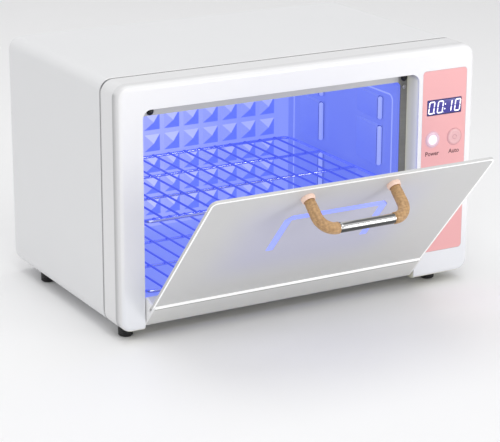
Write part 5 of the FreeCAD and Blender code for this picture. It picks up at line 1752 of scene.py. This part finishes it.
@dataclass
class Handle(Assembly):
    """Bent wooden arms on peach collars, joined by a chromed bar."""

    door: Door = field(default_factory=Door)

    def build(self) -> None:
        """Make the arms with their turned rings, the collars and the bar."""
        for side, sign in (("left", -1.0), ("right", 1.0)):
            self.arm(f"handle_arm_{side}", sign)
            self.collar(f"handle_collar_{side}")
        self.bar()

    def arm(self, node: str, sign: float) -> None:
        """Round arm that stands off the door and bends towards the bar, ringed near the bar."""
        low, high = self.door.closed_span(node)
        radius = 5.3 * MM
        bend = 14 * MM
        x = low.x + radius if sign < 0 else high.x - radius
        z = (low.z + high.z) / 2
        y_back, y_front = high.y, low.y + radius
        inward = Vector((-sign, 0, 0))
        corner = Vector((x, y_front + bend, z)) + inward * bend
        path = [Vector((x, y_back, z)), Vector((x, y_back - 4 * MM, z))]
        radii = [radius * 0.90, radius * 0.97]
        for point in arc(corner, bend, 180, 90, 14, inward, Vector((0, -1, 0))):
            path.append(point)
            radii.append(radius)
        tip = high.x if sign < 0 else low.x
        reach = abs(tip - corner.x)
        end = Vector((corner.x, y_front, z))
        last = 0.0
        for share, size in RING_PROFILE:
            if reach * share > last:
                path.append(end + inward * reach * share)
                radii.append(radius * size)
                last = reach * share
        arm = tube(f"{node}_turned", path, radii, sides=36)
        self.door.put(arm, "handle_wood", WOOD, node)

    def collar(self, node: str) -> None:
        """Flared collar between an arm and the panel, with a softly rounded rim."""
        low, high = self.door.closed_span(node)
        centre = (low + high) / 2
        radius, deep = (high.x - low.x) / 2, high.y - low.y
        place = facing(centre, high.y)
        hole = radius * 0.80
        profile = [
            (hole, 0.0),
            (radius, 0.0),
            (radius, deep * 0.35),
            (radius * 0.98, deep * 0.60),
            (radius * 0.93, deep * 0.85),
            (radius * 0.88, deep),
            (hole, deep),
            (hole, 0.0),
        ]
        piece = lathe(f"{node}_flared", profile, place, 40)
        self.door.put(piece, "collar_peach", PEACH, node)

    def bar(self) -> None:
        """Chromed bar with a fine step at each end."""
        low, high = self.door.closed_span("handle_bar")
        centre = (low + high) / 2
        radius, length = (high.z - low.z) / 2, high.x - low.x
        place = axis_matrix((low.x, centre.y, centre.z), (1, 0, 0))
        step = 2.0 * MM
        half = [
            (0.0, 0.0),
            (radius * 0.90, 0.0),
            (radius * 0.96, 0.3 * MM),
            (radius * 0.96, step),
            (radius * 0.99, step + 0.25 * MM),
            (radius, step + 0.6 * MM),
        ]
        profile = half + [(a, length - b) for a, b in reversed(half)]
        bar = lathe("handle_bar_stepped", profile, place, 56)
        low, high = span("handle_bar")
        # The chrome's painted reflection is laid out by the bar's height and radius at rest.
        finish = replace(CHROME, axis_z=(low.z + high.z) / 2, radius=(high.z - low.z) / 2)
        self.door.put(bar, "handle_chrome", finish, "handle_bar")


RING_PROFILE = (
    (0.20, 1.0), (0.40, 1.0), (0.44, 0.95), (0.48, 1.0), (0.62, 1.0), (0.66, 0.95),
    (0.70, 1.0), (0.84, 1.0), (0.88, 0.95), (0.92, 1.0), (1.00, 0.97),
)


# --- studio ----------------------------------------------------------------------------------
@dataclass
class Studio(Assembly):
    """Pale floor, soft lights and the camera."""

    target: Point = (-0.0576, -0.120, 0.0975)
    azimuth: float = -0.518
    elevation: float = 0.305
    roll: float = 0.0035
    distance: float = 1.799
    lens: float = 141.1

    def build(self) -> None:
        """Make the floor, the world light, the lamps and the camera."""
        self.floor()
        self.world()
        self.light("key", (-0.6, -1.7, 2.2), 1.5, 17.0, (1.0, 0.997, 0.99))
        self.light("fill", (1.25, -2.0, 0.35), 0.8, 12.5, (1.0, 1.0, 1.0), 0.12)
        self.light("top", (0.1, 0.3, 2.3), 1.8, 14.0, (1.0, 1.0, 1.0))
        self.light("side", (-2.2, 0.2, 0.9), 1.4, 4.0, (1.0, 1.0, 1.0))
        self.chamber_light()
        self.camera()

    def floor(self) -> None:
        """Seamless pale floor that curves up far behind the cabinet."""
        verts, faces = [], []
        rows = [(-4.0, 0.0), (2.2, 0.0)]
        for index in range(1, 13):
            turn = math.radians(90 * index / 12)
            rows.append((2.2 + 1.2 * math.sin(turn), 1.2 * (1 - math.cos(turn))))
        rows.append((3.4, 4.0))
        for y, z in rows:
            verts += [(-5.0, y, z), (5.0, y, z)]
        for index in range(len(rows) - 1):
            low = index * 2
            faces.append([low, low + 1, low + 3, low + 2])
        mesh = bpy.data.meshes.new("studio_floor")
        mesh.from_pydata(verts, [], faces)
        mesh.materials.append(FLOOR.material())
        floor = link("studio_floor", mesh, 40.0)

    def world(self) -> None:
        """Even pale surroundings."""
        world = bpy.data.worlds.new("studio")
        bpy.context.scene.world = world
        world.use_nodes = True
        sky = world.node_tree.nodes["Background"]
        sky.inputs[0].default_value = (0.995, 0.995, 1.0, 1.0)
        sky.inputs[1].default_value = 0.58
        bpy.context.scene.view_settings.view_transform = "Standard"

    def light(
        self, name: str, where: Point, size: float, power: float, tone: Colour, aim_z: float = 0.1
    ) -> None:
        """Square soft light aimed at the cabinet."""
        data = bpy.data.lights.new(name, "AREA")
        data.size, data.energy, data.color = size, power, tone
        lamp = bpy.data.objects.new(name, data)
        bpy.context.scene.collection.objects.link(lamp)
        aim = Vector((0.0, -0.05, aim_z)) - Vector(where)
        turn = aim.to_track_quat("-Z", "Y").to_matrix().to_4x4()
        lamp.matrix_world = Matrix.Translation(where) @ turn

    def chamber_light(self) -> None:
        """Blue light that falls from the lamps into the chamber."""
        low, high = span("reflector_tray")
        centre = (low + high) / 2
        data = bpy.data.lights.new("lamp_light", "AREA")
        data.shape = "RECTANGLE"
        data.size, data.size_y = high.x - low.x - 0.04, high.y - low.y
        data.energy, data.color = 0.015, (0.20, 0.26, 1.0)
        lamp = bpy.data.objects.new("lamp_light", data)
        bpy.context.scene.collection.objects.link(lamp)
        lamp.location = (centre.x, centre.y, low.z - 0.006)

    def camera(self) -> None:
        """Long-lens camera, a little above the cabinet and to its left."""
        turn, lift = self.azimuth, self.elevation
        flat = math.cos(lift)
        back = Vector((math.sin(turn) * flat, -math.cos(turn) * flat, math.sin(lift)))
        data = bpy.data.cameras.new("main")
        data.lens = self.lens
        data.dof.use_dof = False
        camera = bpy.data.objects.new("main", data)
        bpy.context.scene.collection.objects.link(camera)
        place = Matrix.Translation(Vector(self.target) + back * self.distance)
        look = back.to_track_quat("Z", "Y").to_matrix().to_4x4()
        camera.matrix_world = place @ look @ Matrix.Rotation(self.roll, 4, "Z")
        bpy.context.scene.camera = camera


FLOOR = Finish("studio_paper", (0.93, 0.93, 0.935), 0.75, drift=0.004, grain=0.0)


def main() -> None:
    """Build and dress every group."""
    logging.basicConfig(level=logging.INFO, format="%(name)s: %(message)s")
    door = Door()
    groups: list[Assembly] = [
        Case(),
        ControlPanel(),
        Chamber(),
        Racks(),
        Lamps(),
        Electrics(),
        door,
        Handle(door=door),
        Studio(),
    ]
    for group in groups:
        group.build()
        group.dress()
        LOG.info("%s is done", type(group).__name__)


if __name__ == "__main__":
    main()
